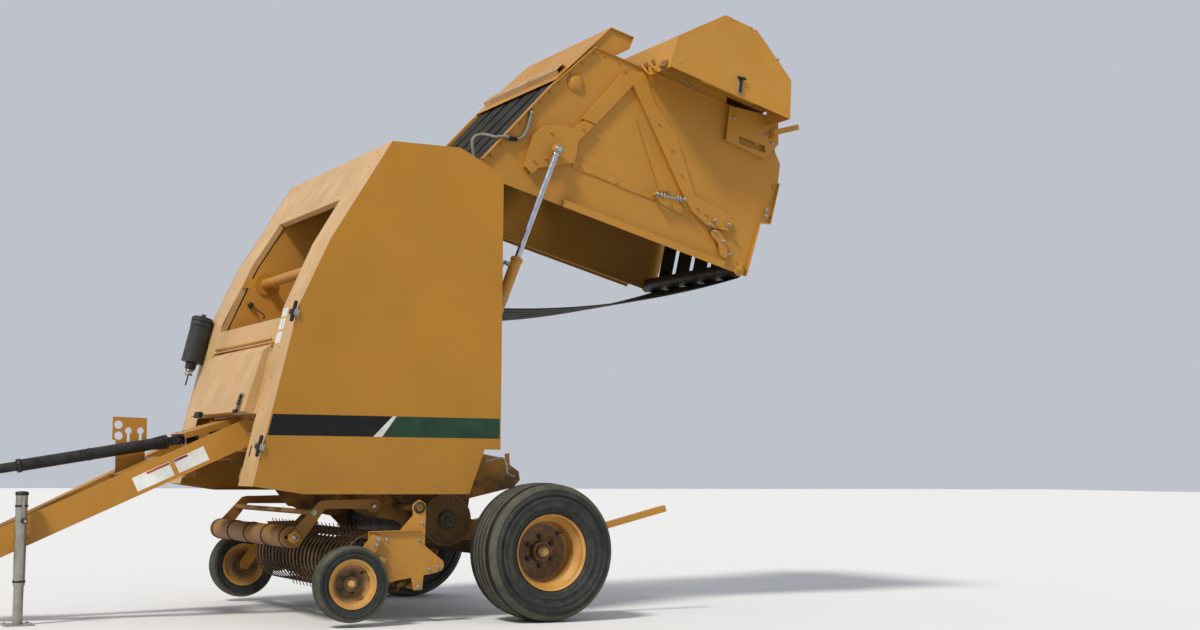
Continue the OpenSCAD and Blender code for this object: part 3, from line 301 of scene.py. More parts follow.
def rim_paint(name, centre, r_dirty, r_clean):
    """Rim paint: dirt in the dish that fades towards the lip, by the distance from the wheel's axis."""
    g = Graph(name)
    offset = g.add("VectorMath", {0: g.coord, 1: at(centre[0], 0, centre[1])}, operation="SUBTRACT")
    flat = g.add("VectorMath", {0: offset, 1: (1, 0, 1)}, operation="MULTIPLY")
    distance = g.add("VectorMath", {0: flat}, "Value", operation="LENGTH")
    dish = g.spread(distance, r_clean * MM, r_dirty * MM)
    tone = g.ramp(g.noise(6.0, 4.0), (0.3, shade((170, 120, 48))), (0.7, shade((198, 148, 74))))
    grime = g.ramp(g.noise(22.0, 6.0), (0.3, shade((62, 48, 28))), (0.7, shade((112, 80, 40))))
    tone = g.mix(g.times(dish, g.patches(9.0, 6.0, 0.22, 0.5, 0.7, 1.0)), tone, grime)
    tone = g.mix(g.patches(120.0, 3.0, 0.6, 0.7, 0.0, 0.5), tone, (168, 130, 76))
    return g.done(tone, g.patches(12.0, 3.0, 0.3, 0.7, 0.4, 0.7), (g.noise(200.0, 3.0), 0.15, 0.001))


YELLOW = (172, 119, 31)
CROP = (120, 92, 44)
# Soil brown for low dirt; inside the chamber it is also painted shade
SOIL_AND_SHADE = (78, 58, 34)

paint_side = paint("paint_side", YELLOW, (170, 130, 64), 0.28, (140, 100, 46), (0.7, 1.3), 0.4)
# Front cover and door: pale tan from dust, and a painted sun sheen on the front faces
paint_front_dust_and_sheen = paint("paint_front_dust_and_sheen", (188, 149, 97), (208, 180, 142), 0.75, CROP, (0.7, 1.2), 0.25)
paint_gate = paint("paint_gate", (180, 126, 44), (156, 126, 72), 0.5)
paint_box = paint("paint_box", (186, 132, 46), (206, 168, 106), 0.45)
paint_frame = paint("paint_frame", (178, 124, 42), (150, 116, 60), 0.6, SOIL_AND_SHADE, (0.55, 1.15), 0.9)
paint_tongue = paint("paint_tongue", (176, 121, 36), (192, 152, 88), 0.45, CROP, (0.4, 0.9), 0.3)
paint_worn = paint("paint_worn", (150, 104, 42), (110, 84, 46), 0.7, SOIL_AND_SHADE, (0.25, 0.75), 0.7, (0.55, 0.85))
paint_dirty = paint("paint_dirty", (112, 82, 44), (96, 78, 50), 0.8, (62, 46, 28), (0.3, 0.8), 0.9,
                    (0.7, 0.95))
paint_pickup = paint("paint_pickup", (186, 131, 48), (176, 140, 84), 0.5, (120, 88, 44), (0.1, 0.6), 0.5)
# Inside of the chamber: strong darkening below about 1.3 m, painted shade together with soil dirt
paint_inside_dirt_and_shade = paint("paint_inside_dirt_and_shade", (192, 134, 50), (150, 116, 60), 0.6, SOIL_AND_SHADE, (0.8, 1.3), 0.92, (0.6, 0.9))
paint_chaffy = paint("paint_chaffy", (196, 160, 108), (118, 90, 48), 0.9)
paint_barrel = paint("paint_barrel", (186, 130, 46), (160, 124, 66), 0.5)
steel_roller = metal("steel_roller", (66, 60, 52), (58, 44, 30), (0.42, 0.62), 0.5, (1, 8, 1))
steel_tine = metal("steel_tine", (84, 74, 60), (100, 72, 42), (0.4, 0.6), 0.5)
zinc = metal("zinc", (170, 166, 154), (126, 110, 84), (0.3, 0.5), 0.8)
chrome = metal("chrome", (206, 208, 214), (150, 152, 156), (0.08, 0.18), 1.0)
casting = metal("casting", (58, 58, 56), (88, 70, 46), (0.5, 0.7), 0.3)
black_steel = metal("black_steel", (38, 38, 40), (84, 70, 50), (0.4, 0.6), 0.3)
guard = rubber("guard", (34, 34, 36), (90, 84, 70), 0.25, 300.0, (0.42, 0.65))
canister_plastic = rubber("canister_plastic", (46, 50, 50), (100, 92, 74), 0.2, 260.0, (0.5, 0.7))
hose_rubber = rubber("hose_rubber", (118, 120, 110), (150, 140, 112), 0.4, 500.0)
black_rubber = rubber("black_rubber", (24, 24, 25), (80, 72, 56), 0.2, 400.0)
tyre_rubber = rubber("tyre_rubber", (44, 47, 45), (84, 84, 72), 0.35, 220.0, (0.7, 0.92))
tread_rubber = rubber("tread_rubber", (72, 72, 61), (102, 99, 80), 0.5, 120.0, (0.8, 0.95))
belt = belt_rubber("belt")
decal_white = decal("decal_white", (214, 216, 212), (186, 168, 128), 0.25)
decal_black = decal("decal_black", (16, 17, 17), (70, 60, 40), 0.08, 0.36)
decal_green = decal("decal_green", (30, 62, 44), (76, 80, 52), 0.10, 0.36)
decal_red = decal("decal_red", (168, 66, 44), (176, 128, 92), 0.25)
decal_wine = decal("decal_wine", (112, 44, 62), (150, 110, 90), 0.25)
rim_main = rim_paint("rim_main", (0, AXLE_Z), 152, 182)
rim_gauge = rim_paint("rim_gauge", GAUGE, 78, 114)


def both(name):
    return [f"{name}_left", f"{name}_right"]


NODE_FINISH = {
    paint_side: both("front_shield"),
    paint_box: both("rear_shield") + ["net_box"],
    paint_front_dust_and_sheen: ["front_cover", "front_door"],
    paint_gate: ["tailgate_sides", "tailgate_braces", "tailgate_hood", "tailgate_cross"],
    paint_inside_dirt_and_shade: ["main_frame", "frame_beams"],
    paint_frame: ["opening_tube", "driveline_rest", "tongue_plates"],
    paint_tongue: ["tongue", "hose_plate"],
    paint_dirty: ["axle", "roller_drive", "stripper_bands"],
    paint_worn: ["press_arms", "press_roller"],
    paint_pickup: ["pickup_frame", "guide_arms"],
    paint_barrel: ["cylinder_barrels"],
    steel_roller: ["chamber_rollers", "tailgate_rollers"],
    steel_tine: ["pickup_reel"],
    casting: ["gearbox", "hitch_clevis"],
    canister_plastic: ["canister"],
    guard: ["driveline_rear", "driveline_front"],
    belt: ["tailgate_belts", "belt_run"],
    zinc: ["jack_foot", "jack_leg"],
    chrome: ["cylinder_rods"],
    tyre_rubber: both("tyre") + both("gauge_tyre"),
    rim_main: both("rim"),
    rim_gauge: both("gauge_rim"),
}


def finish_nodes():
    for mat, names in NODE_FINISH.items():
        for name in names:
            if not NODES[name].material_slots:
                NODES[name].data.materials.append(mat)
            for s in NODES[name].material_slots:
                s.material = mat


# The piece builder

def add_object(name, data):
    obj = bpy.data.objects.new(name, data)
    bpy.context.scene.collection.objects.link(obj)
    return obj


def frame_of(axis):
    """Two unit vectors square to axis, and axis itself as one."""
    n = Vector(axis).normalized()
    ref = Z_DIR if abs(n.z) < 0.9 else X_DIR
    u = ref.cross(n).normalized()
    return u, n.cross(u), n


class Piece:
    """Gathers closed mesh parts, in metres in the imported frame, into one object."""

    def __init__(self, *mats):
        self.mats = mats
        self.verts, self.faces, self.slots, self.smooth = [], [], [], []

    def face(self, corners, mat, smooth):
        self.faces.append(corners)
        self.slots.append(mat)
        self.smooth.append(smooth)

    def rings(self, rings, mat=0, smooth=True, closed=False):
        """Skins a row of rings; a row that isn't closed gets flat ends."""
        base, n = len(self.verts), len(rings[0])
        for i in range(len(rings) if closed else len(rings) - 1):
            a, b = base + i * n, base + (i + 1) % len(rings) * n
            for j in range(n):
                k = (j + 1) % n
                self.face((a + j, a + k, b + k, b + j), mat, smooth)
        self.verts += [v for ring in rings for v in ring]
        if not closed:
            self.face(range(base, base + n), mat, False)
            self.face(range(len(self.verts) - n, len(self.verts)), mat, False)

    def lathe(self, origin, axis, profile, n=32, mat=0, smooth=True, closed=False):
        """profile lists (radius, height) in millimetres along axis from origin; closed makes a ring."""
        u, v, w = frame_of(axis)
        self.rings([
            [off(origin, u * math.cos(t) + v * math.sin(t), max(r, 0.05), w, h) for t in angles(n)]
            for r, h in profile
        ], mat, smooth, closed)

    def collar(self, origin, axis, bore, r, length, edge, n=36, mat=0):
        """A ring round a shaft, with its outer edges chamfered by edge along the shaft."""
        profile = [(bore, 0), (r, edge), (r, length - edge), (bore, length)]
        self.lathe(origin, axis, profile, n, mat, closed=True)

    def slab(self, outline, origin, u, v, depth, mat=0, chamfer=1.0):
        """A plate: outline along u and v from origin, depth along u x v, outer edge chamfered."""
        u, v = Vector(u).normalized(), Vector(v).normalized()
        w = u.cross(v)
        area = sum(a[0] * b[1] - b[0] * a[1] for a, b in zip(outline, outline[1:] + outline[:1]))
        pts = [Vector(p) for p in (outline if area > 0 else outline[::-1])]

        def inner(t):
            out = []
            for i, p in enumerate(pts):
                a = (p - pts[i - 1]).normalized()
                b = (pts[(i + 1) % len(pts)] - p).normalized()
                m = Vector((-a.y - b.y, a.x + b.x)).normalized()
                out.append(p + m * (t / max(0.3, m.dot(Vector((-a.y, a.x))))))
            return out

        layers = [(pts, 0.0), (pts, depth - min(chamfer, depth * 0.5)), (inner(chamfer), depth)]
        self.rings([[off(origin, u, q.x, v, q.y, w, d) for q in ps] for ps, d in layers], mat, False)

    def side_slab(self, outline, origin, s, depth, mat=0, chamfer=1.0, u=X_DIR, v=Z_DIR):
        """A slab on side s that grows outward; u runs forward and v upward, as the outline's pairs do."""
        if s > 0:
            outline, u, v = [(b, a) for a, b in outline], v, u
        self.slab(outline, origin, u, v, depth, mat, chamfer)

    def block(self, centre, size, u=X_DIR, v=Y_DIR, mat=0, chamfer=1.5):
        """A box with one chamfered face, by its centre and its sizes along u, v and u x v."""
        u, v = Vector(u).normalized(), Vector(v).normalized()
        a, b, c = size
        self.slab(rect(-a / 2, a / 2, -b / 2, b / 2), off(centre, u.cross(v), -c / 2), u, v, c, mat, chamfer)

    def tube(self, points, radius, n=10, mat=0):
        """A round bar along points, its radius in millimetres."""
        rings, side = [], None
        for i, p in enumerate(points):
            t = (points[min(len(points) - 1, i + 1)] - points[max(0, i - 1)]).normalized()
            side = frame_of(t)[0] if side is None else (side - t * side.dot(t)).normalized()
            other = t.cross(side)
            rings.append([off(p, side * math.cos(k) + other * math.sin(k), radius) for k in angles(n)])
        self.rings(rings, mat)

    def bolt(self, seat, axis, size=18, mat=0, washer=True):
        """A hexagon bolt head with its washer; size is the width across the flats."""
        if washer:
            self.lathe(seat, axis, [(size * 0.78, 0), (size * 0.78, 1.6), (size * 0.74, 2.2)], 20, mat)
        r = size / math.sqrt(3)
        base = 2.0 if washer else 0.0
        head = [(r, base), (r, base + size * 0.52), (r * 0.84, base + size * 0.62)]
        self.lathe(seat, axis, head, 6, mat, False)

    def bolts(self, places, spot, y, s, size=18, mat=0):
        """Bolts at places in X and Z on side s, y from the middle; spot is at or gate."""
        for x, z in places:
            self.bolt(spot(x, s * y, z), Y_DIR * s, size, mat)

    def bolt_circle(self, centre, axis, radius, n, start, size, mat=0, washer=True, basis=(X_DIR, Z_DIR)):
        u, v = basis
        for t in angles(n, start):
            self.bolt(off(centre, u * math.cos(t) + v * math.sin(t), radius), axis, size, mat, washer)

    def rivet(self, seat, axis, r=7, mat=0):
        head = [(r, 0), (r * 0.95, r * 0.25), (r * 0.6, r * 0.55), (r * 0.05, r * 0.62)]
        self.lathe(seat, axis, head, 14, mat)

    def make(self, name, body, slot):
        mesh = bpy.data.meshes.new(name)
        mesh.from_pydata([tuple(v) for v in self.verts], [], [tuple(f) for f in self.faces])
        for m in self.mats:
            mesh.materials.append(m)
        mesh.polygons.foreach_set("material_index", self.slots)
        mesh.polygons.foreach_set("use_smooth", self.smooth)
        bm = bmesh.new()
        bm.from_mesh(mesh)
        bmesh.ops.recalc_face_normals(bm, faces=bm.faces)
        bm.to_mesh(mesh)
        bm.free()
        mesh.update()
        obj = add_object(name, mesh)
        if body:
            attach(obj, body)
        return obj


def coil(start, end, u, v, radius, turns, steps=10):
    """Points of a coil from start to end, turning from u to v; radius in millimetres."""
    n = turns * steps
    return [off(start + (end - start) * (k / n), u, radius * math.cos(2 * math.pi * k / steps),
                v, radius * math.sin(2 * math.pi * k / steps)) for k in range(n + 1)]


def smooth_path(points, steps=8):
    """A Catmull-Rom curve through points."""
    out = []
    for i in range(len(points) - 1):
        p0, p1, p2, p3 = (points[min(max(k, 0), len(points) - 1)] for k in (i - 1, i, i + 1, i + 2))
        for s in range(steps):
            t = s / steps
            out.append(0.5 * ((2 * p1) + (p2 - p0) * t + (2 * p0 - 5 * p1 + 4 * p2 - p3) * t * t
                              + (3 * p1 - p0 - 3 * p2 + p3) * t ** 3))
    out.append(points[-1])
    return out


# Wheels

def tyre_profile(r, w, bead, grooves, wall_rings):
    """Half outline of a ribbed tyre from bead to tread, as (radius, distance from the middle)."""
    side = [
        (bead + 1, 0.30), (bead - 0.5, 0.345), (bead + 3, 0.365), (bead + 12, 0.392), (bead + 22, 0.420),
        (bead + 24, 0.432), (bead + 28, 0.440), (bead + 32, 0.436),
    ]
    for q in wall_rings:
        wall = 0.44 + 0.06 * math.sin(math.pi * q * 0.85)
        at_r = bead + (r - bead) * q
        side += [(at_r + dr, wall + dy) for dr, dy in ((-3, 0), (-1, 0.008), (2, 0.008), (4, 0.001))]
    side += [(r * k, y) for k, y in (
        (0.80, 0.500), (0.85, 0.498), (0.875, 0.490), (0.88, 0.478), (0.89, 0.478),
        (0.905, 0.484), (0.93, 0.462), (0.955, 0.440), (0.972, 0.412), (0.984, 0.380),
    )]
    tread = []
    for g, half, depth in grooves:
        crown = r * (1 - 0.075 * (g / 0.42) ** 4)
        for dy, dr in ((half, 0), (half * 0.72, -depth), (-half * 0.72, -depth), (-half, 0)):
            if g + dy > 0:
                tread.append((crown + dr, g + dy))
    tread.sort(key=lambda p: -p[1])
    return [(a, b * w) for a, b in side + tread]


def make_tyre(name, node, body, centre, r, w, bead, grooves, wall_rings, n=144):
    half = tyre_profile(r, w, bead, grooves, wall_rings)
    outer = half + [(a, -b) for a, b in reversed(half)]
    inside = [(bead + 20, 0.33 * w), (r * 0.76, 0.435 * w), (r * 0.86, 0.43 * w), (r * 0.93, 0.32 * w)]
    inner = [(a, -b) for a, b in inside] + inside[::-1]
    p = Piece(tyre_rubber, tread_rubber, black_rubber)
    p.lathe(centre, Y_DIR, outer + inner, n, closed=True)
    # The tread is paler than the wall, and its grooves are near black: painted shade in the grooves
    for i in range(len(outer) - 1):
        low = min(outer[i][0], outer[i + 1][0])
        if low > r * 0.9:
            groove = low < r * 0.98 and abs(outer[i][1]) < w * 0.38
            p.slots[i * n:(i + 1) * n] = [2 if groove else 1] * n
    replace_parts(p.make(name, body, "tyre"), node)


def wheel_hardware(name, body, centre, s, cap, nuts, valve_r):
    """cap is the hub cap's face and radius; nuts are their plane, circle, number and size."""
    p = Piece(casting, black_rubber, paint_chaffy)
    out = Y_DIR * s
    nut_plane, nut_r, nut_n, nut_size = nuts
    disc = off(centre, out, nut_plane)
    p.bolt_circle(disc, out, nut_r, nut_n, math.pi / nut_n, nut_size)
    cap_face, cap_r = cap
    profile = [(1, 0), (1, 6), (0.9, 9), (0.82, 22), (0.7, 30), (0.35, 35), (0, 36)]
    p.lathe(off(centre, out, cap_face), out, [(cap_r * k, h) for k, h in profile], 28, 2)
    stem = Vector((math.cos(2.4), 0, math.sin(2.4)))
    profile = [(7, -4), (6, 6), (3.6, 12), (3.6, 34), (4.4, 35), (4.4, 42), (0, 43)]
    p.lathe(off(disc, stem, valve_r), stem * 0.3 + out, profile, 12, 1)
    p.make(name, body, "dark_steel")


def make_wheels():
    # A groove is its place and half width in tyre widths, and its depth
    main_grooves = [(0.0, 0.018, 12), (0.13, 0.016, 12), (0.255, 0.014, 11), (0.345, 0.010, 8)]
    gauge_grooves = [(0.0, 0.03, 5), (0.22, 0.03, 5)]
    for side, s in SIDES:
        main, gauge = at(0, s * TRACK_HALF, AXLE_Z), at(GAUGE[0], s * GAUGE_Y, GAUGE[1])
        make_tyre(f"ribbed_tyre_{side}", f"tyre_{side}", f"wheel_{side}", main,
                  394, 343, 209, main_grooves, (0.28, 0.5, 0.66))
        wheel_hardware(f"wheel_fasteners_{side}", f"wheel_{side}", main, s, (29, 31), (-21, 84, 6, 20), 150)
        make_tyre(f"gauge_ribbed_tyre_{side}", f"gauge_tyre_{side}", f"gauge_wheel_{side}", gauge,
                  210, 100, 128, gauge_grooves, (0.35, 0.6))
        wheel_hardware(f"gauge_fasteners_{side}", f"gauge_wheel_{side}", gauge, s,
                       (17, 19), (-2, 58, 5, 12), 88)


# Belts

FRONT_ROLLER = ((750, 1980), 110)
LOW_ROLLER = (lift(146, 646), 50)
TOP_ROLLER = (lift(-604, 2098), 85)
BELTS = 5
BELT_SEAT = 0.4
BELT_T = 8
BELT_W = 178
BELT_GAP = 59
SLACK_FROM = -84
SLACK_TO = -107.4
# Share of the way from the top roller to the front one where the tailgate's belts end and the free run starts
FREE_FROM = 0.482


def on_circle(deg):
    return Vector((math.cos(math.radians(deg)), math.sin(math.radians(deg))))


def round_at(roller, deg):
    """The belt's inner face on a roller, in X and Z."""
    centre, r = roller
    return Vector(centre) + on_circle(deg) * (r + BELT_SEAT)


def leave(a, b):
    """Angle at which a belt leaves roller a for roller b."""
    d = Vector(b[0]) - Vector(a[0])
    return math.degrees(math.atan2(d.y, d.x) + math.acos((a[1] - b[1]) / d.length))


def crossing(a, dir_a, b, dir_b):
    """Where the line from a along dir_a meets the one from b along dir_b."""
    gap = b - a
    return a + dir_a * ((gap.x * dir_b.y - gap.y * dir_b.x) / (dir_a.x * dir_b.y - dir_a.y * dir_b.x))


def belt_mesh(name, path):
    """The belts along a path in X and Z, the thickness to the left of it; worn edges are slightly rounded."""
    worn, edge = BELT_T * 0.225, 2.5
    section = [(0, worn), (edge, 0.0)] + [(BELT_W * k / 10, 0.0) for k in range(1, 10)]
    section += [(BELT_W - edge, 0.0), (BELT_W, worn)]
    loop = section + [(y, BELT_T - h) for y, h in reversed(section)]
    normals = []
    for i in range(len(path)):
        d = (path[min(len(path) - 1, i + 1)] - path[max(0, i - 1)]).normalized()
        normals.append(Vector((-d.y, d.x)))
    p = Piece(belt)
    for i in range(BELTS):
        y0 = i * (BELT_W + BELT_GAP) - (BELTS * BELT_W + (BELTS - 1) * BELT_GAP) / 2
        p.rings([[at(q.x + n.x * h, y0 + y, q.y + n.y * h) for y, h in loop] for q, n in zip(path, normals)])
    obj = p.make(name, None, "black_belt")
    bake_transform(obj)
    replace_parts(obj, "belt_run")


def make_belts():
    top = leave(TOP_ROLLER, FRONT_ROLLER)
    run_to = round_at(FRONT_ROLLER, top)
    run_from = round_at(TOP_ROLLER, top).lerp(run_to, FREE_FROM)
    upper = [run_from.lerp(run_to, k / 12) for k in range(13)]
    steps = max(6, int((top - SLACK_FROM) / 4))
    wrap = [round_at(FRONT_ROLLER, top + (SLACK_FROM - top) * k / steps) for k in range(1, steps + 1)]
    # The slack run is a curve that leaves both rollers on their tangents and ends just short of the low one
    a, b = round_at(FRONT_ROLLER, SLACK_FROM), round_at(LOW_ROLLER, SLACK_TO)
    mid = crossing(a, on_circle(SLACK_FROM - 90), b, on_circle(SLACK_TO - 90))
    shares = [0.998 * k / 40 for k in range(1, 41)]
    slack = [a * (1 - t) ** 2 + mid * (2 * t * (1 - t)) + b * t * t for t in shares]
    half, front = steps // 2, FRONT_ROLLER[0][0]
    belt_mesh("belts_upper_run", upper + wrap[:half + 1])
    belt_mesh("belts_slack_run", wrap[half:] + slack)


# Side shields

def make_shield_trim():
    low, high = 1040, 1156
    nose = [(983, low), (front_x(low) - 7, low), (front_x(high) - 7, high), (869, high)]
    slash = [(982, low), (930, low), (846, high), (868, high)]
    tail = [(207, low), (929, low), (845, high), (207, high)]
    for side, s in SIDES:
        p = Piece(decal_black, decal_white, decal_green)
        for mat, outline in enumerate((nose, slash, tail)):
            p.side_slab(outline, at(0, s * SHIELD_Y, 0), s, 0.7, mat, 0.3)
        p.make(f"stripe_{side}", f"shield_{side}", "yellow_paint")

        t = Piece(black_rubber, zinc)
        out = Y_DIR * s
        for z in (1718, 975):
            d = front_dir(z)
            # Bracket on the column's face, rubber strap, and the upright grip at the shield's edge
            t.block(front_at(s * 884, z, 13), (46, 40, 18), d, out, 1, 2)
            t.bolt(front_at(s * 876, z, 22), front_out(z), 11, 1, False)
            t.block(front_at(s * 908, z, 24), (24, 66, 13), d, out, 0, 3)
            grip = [(5, 0), (9, 3), (11, 10), (10, 50), (10, 70), (11, 110), (9, 117), (5, 120)]
            t.lathe(off(front_at(s * 940, z, 24), d, -60), d, grip, 14)
            t.block(front_at(s * 944, z - 4, 8), (34, 14, 30), d, out, 1, 2)
        t.make(f"shield_latches_{side}", f"shield_{side}", "dark_steel")


# Front cover and door

def make_front_trim():
    p = Piece(paint_front_dust_and_sheen, zinc, decal_white, black_steel, paint_box)
    # Screws down both columns and over the top
    screws = [(s * 752, z, 7) for s in (1, -1)
              for z in (830, 1010, 1190, 1370, 1540, 1830, 2010, 2180, 2323, 2480, 2600, 2690)]
    screws += [(s * 846, z, 6) for s in (1, -1) for z in (2500, 2655)]
    screws += [(y, 2470, 6) for y in (-450, -150, 150, 450)]
    for y, z, r in screws:
        p.rivet(front_at(y, z), front_out(z), r, 1)
    # Sill panel between the opening and the door, with rolled edges
    sill_low, sill_high = 1588, 1705
    rise = front_length(sill_low, sill_high)
    sill = [(0, -598), (rise, -590), (rise, 590), (0, 598)]
    p.slab(sill, front_at(0, sill_low), front_dir(sill_low), -Y_DIR, 7, 0, 4)
    p.tube([front_at(y, sill_low + 5, 7) for y in (-592, 592)], 7, 12, 4)

    def flange(y0, z0, y1, z1, width=34):
        """A flange turned inward at the opening's edge."""
        a, b, inward = front_at(y0, z0, -1), front_at(y1, z1, -1), -front_out((z0 + z1) / 2)
        p.block(off((a + b) / 2, inward, width / 2), ((b - a).length / MM, width, 3), b - a, -inward, 0, 0.8)

    for s in (1, -1):
        for y0, z0, y1, z1 in ((636, 1712, 610, 2010), (610, 2010, 598, 2149), (597, 2149, 583, 2418)):
            flange(s * y0, z0, s * y1, z1)
    flange(-582, 2421, 582, 2421)
    flange(-634, 1711, 634, 1711)

    def label(y0, y1, z0, z1, depth, mat):
        outline = rect(0, front_length(z0, z1), 0, y1 - y0)
        p.slab(outline, front_at(y1, z0), front_dir(z0), -Y_DIR, depth, mat, 0.3)

    # Blank labels on the left column, and a small dark plate low on it
    for z0, z1 in ((1714, 1760), (1640, 1700), (1562, 1624)):
        label(652, 738, z0, z1, 0.8, 2)
        label(690, 697, z0 + 6, z1 - 6, 1.2, 1)
    label(700, 722, 925, 985, 1.2, 3)
    # Hook rod seen through the opening
    hook = ((1263, -586, 1889), (1262, -560, 1880), (1260, -420, 1842), (1258, -300, 1805),
            (1262, -290, 1780))
    p.tube(smooth_path([at(*place) for place in hook], 6), 5, 8, 3)
    p.lathe(at(1263, -592, 1890), Y_DIR, [(4, 0), (17, 2), (20, 12), (17, 24), (6, 30)], 18, 3)
    p.make("front_trim", "chassis", "yellow_paint")


def make_door_trim():
    low, high = at(DOOR_LOW[0], 0, DOOR_LOW[1]), at(DOOR_HIGH[0], 0, DOOR_HIGH[1])
    up = (high - low).normalized()
    out = Vector((up.z, 0, -up.x))

    def door_at(y, k):
        """k runs from the low bend of the door's face to its upper bend."""
        return off(low.lerp(high, k), Y_DIR, y)

    p = Piece(black_rubber, zinc)
    # Latch at the door's lower left corner: plate, rubber bellows on a rod, foot and bolt
    latch = door_at(492, 0.14)
    p.block(off(latch, out, 4), (104, 34, 8), up, Y_DIR, 1, 2)
    for k in range(6):
        p.lathe(off(latch, out, 16, up, 11 * k - 18), up, [(6, 0), (11, 2), (11, 6), (6, 8)], 14)
    p.tube([off(latch, out, 16, up, h) for h in (-58, 56)], 5, 10, 1)
    p.block(off(latch, out, 18, up, -56), (18, 64, 16), up, Y_DIR, 0, 4)
    p.bolt(off(latch, out, 8, up, 42), out, 10, 1)
    # The pull at the lower edge
    p.block(off(door_at(-330, 0), out, 12, up, -4), (34, 118, 24), up, Y_DIR, 0, 5)
    for y in (-560, -280, 0, 280, 560):
        p.rivet(door_at(y, 0.94), out, 5, 1)
    p.make("door_latches", "front_door", "dark_steel")


def make_canister_trim():
    z0, step = 1530, 200
    tilt = math.atan((front_x(z0 + step) - front_x(z0)) / step)
    axis = Vector((math.sin(tilt), 0, math.cos(tilt)))
    base = at(front_x(z0) + 72, 50 - COVER_Y, z0)
    p = Piece(canister_plastic, zinc, black_steel)
    for band in ([(66.2, 2), (68, 3), (68, 9), (66.2, 11)],
                 [(66.2, 232), (68.5, 236), (69.5, 262), (66.2, 266)]):
        p.lathe(base, axis, band, 44, closed=True)
    # Cap with its knob, the neck below, and the bright clamp with its rod
    p.lathe(off(base, axis, 290), axis, [(66, 0), (58, 9), (30, 13), (16, 14), (15, 26), (10, 30)], 40)
    p.lathe(off(base, axis, -46), axis, [(26, 0), (33, 4), (36, 42), (36, 47)], 28, 2)
    p.lathe(off(base, axis, -62), axis, [(18, 0), (26, 2), (26, 13), (20, 16)], 24, 1)
    p.lathe(off(base, axis, -86), axis, [(16, 0), (24, 2), (24, 14), (18, 17)], 24, 1)
    p.tube([off(base, axis, h) for h in (-80, -150)], 5, 8, 2)
    p.make("canister_bands", "chassis", "canister_grey")


# Tongue, gearbox, driveline and jack

def tongue_side(x, drop, s=1):
    """A point on the outer face of a tongue beam, drop millimetres below its top edge."""
    return at(x, s * (TONGUE_HALF + TONGUE_YAW * x), TONGUE_TOP + TONGUE_DIP * x - drop)


def make_tongue_trim():
    p = Piece(decal_white, decal_red, zinc, decal_wine)
    for s in (1, -1):
        run = (tongue_side(2200, 0, s) - tongue_side(1900, 0, s)).normalized()
        down = (run * run.z - Z_DIR).normalized()
        out = run.cross(down).normalized() * s
        # Two blank labels, each with a coloured bar over a share of its length
        for x0, x1, bar, share0, share1 in ((1774, 1941, 3, 0.55, 0.99), (1960, 2161, 1, 0.01, 0.62)):
            corner = tongue_side(x0, 50, s)
            length = (tongue_side(x1, 34, s) - corner).length / MM
            p.side_slab(rect(0, 84, 0, length), corner, s, 0.7, 0, 0.2, down, run)
            p.side_slab(rect(3, 16, length * share0, length * share1), corner, s, 1.1, bar, 0.2, down, run)
        for x in (2890, 2950):
            p.bolt(tongue_side(x, 75, s), out, 24, 2)
    for y in (-380, -340, 340, 380):
        for z in (990, 1060, 1130):
            p.bolt(at(1514, y, z), X_DIR, 20, 2)
    p.make("tongue_labels_and_bolts", "chassis", "yellow_paint")


def make_driveline_trim():
    dip = math.radians(LINE_DIP)
    line = Vector((math.cos(dip), 0, -math.sin(dip)))
    joint = at(JOINT[0], 0, JOINT[1])
    p = Piece(zinc, casting)
    # Gearbox: cover screws, filler plug, a light collar and a bolted flange at the driveline
    for y in (-78, 78):
        for z in (945, 1000, 1055):
            p.bolt(at(1750, y, z), X_DIR, 14)
    p.lathe(at(1670, 60, 1082), Z_DIR, [(12, 0), (12, 4), (8, 5), (8, 9)], 6, 0, False)
    collar = [(33, 0), (45, 1), (47, 3), (47, 12), (45, 14), (33, 14)]
    p.lathe(off(joint, line, -52), line, collar, 36, closed=True)
    p.collar(off(joint, line, -118), line, 33, 52, 11, 1, mat=1)
    p.bolt_circle(off(joint, line, -107), line, 44, 6, 0, 10, 0, False, frame_of(line)[:2])
    # Screws of the sloping cover and of the hose holder
    cover_end, cover_start = (1850, 1058), (1516, 1160)
    slope = Vector((cover_end[0] - cover_start[0], 0, cover_end[1] - cover_start[1]))
    up = Vector((-slope.z, 0, slope.x)).normalized()
    for x in (1560, 1690, 1820):
        for y in (-128, 128):
            z = cover_start[1] + (x - cover_start[0]) * slope.z / slope.x
            p.rivet(off(at(x, y, z), up, 0.5), up)
    for x in (2040, 2110, 2170):
        p.bolt(at(x, -78, TONGUE_TOP + TONGUE_DIP * x - 4), (0.42, 0, 0.9), 14)
    p.make("gearbox_fittings", "chassis", "dark_steel")

    # Ribbed cone and collars of the driveline guard
    p = Piece(guard)
    for k in range(7):
        cone = [(35.5, 0), (43 - k, 2), (43 - k, 6), (35.2, 9)]
        p.lathe(off(joint, line, 60 + 11 * k), line, cone, 40, closed=True)
    p.collar(off(joint, line, 880), line, 35, 39, 26, 2)
    p.collar(off(joint, line, 500), line, 34.6, 37, 10, 1)
    p.make("driveline_guard_rings", "driveline_outer", "black_guard")
    p = Piece(guard, zinc)
    for k in range(8):
        r = 76 - k * 0.2
        fold = [(72.5, 0), (r, 3), (r, 7), (72.5, 11)]
        p.lathe(off(joint, line, 1338 + 16 * k), line, fold, 44, closed=True)
    p.collar(off(joint, line, 1528), line, 46.4, 50, 13, 1, mat=1)
    p.make("driveline_yoke_rings", "driveline_inner", "black_guard")


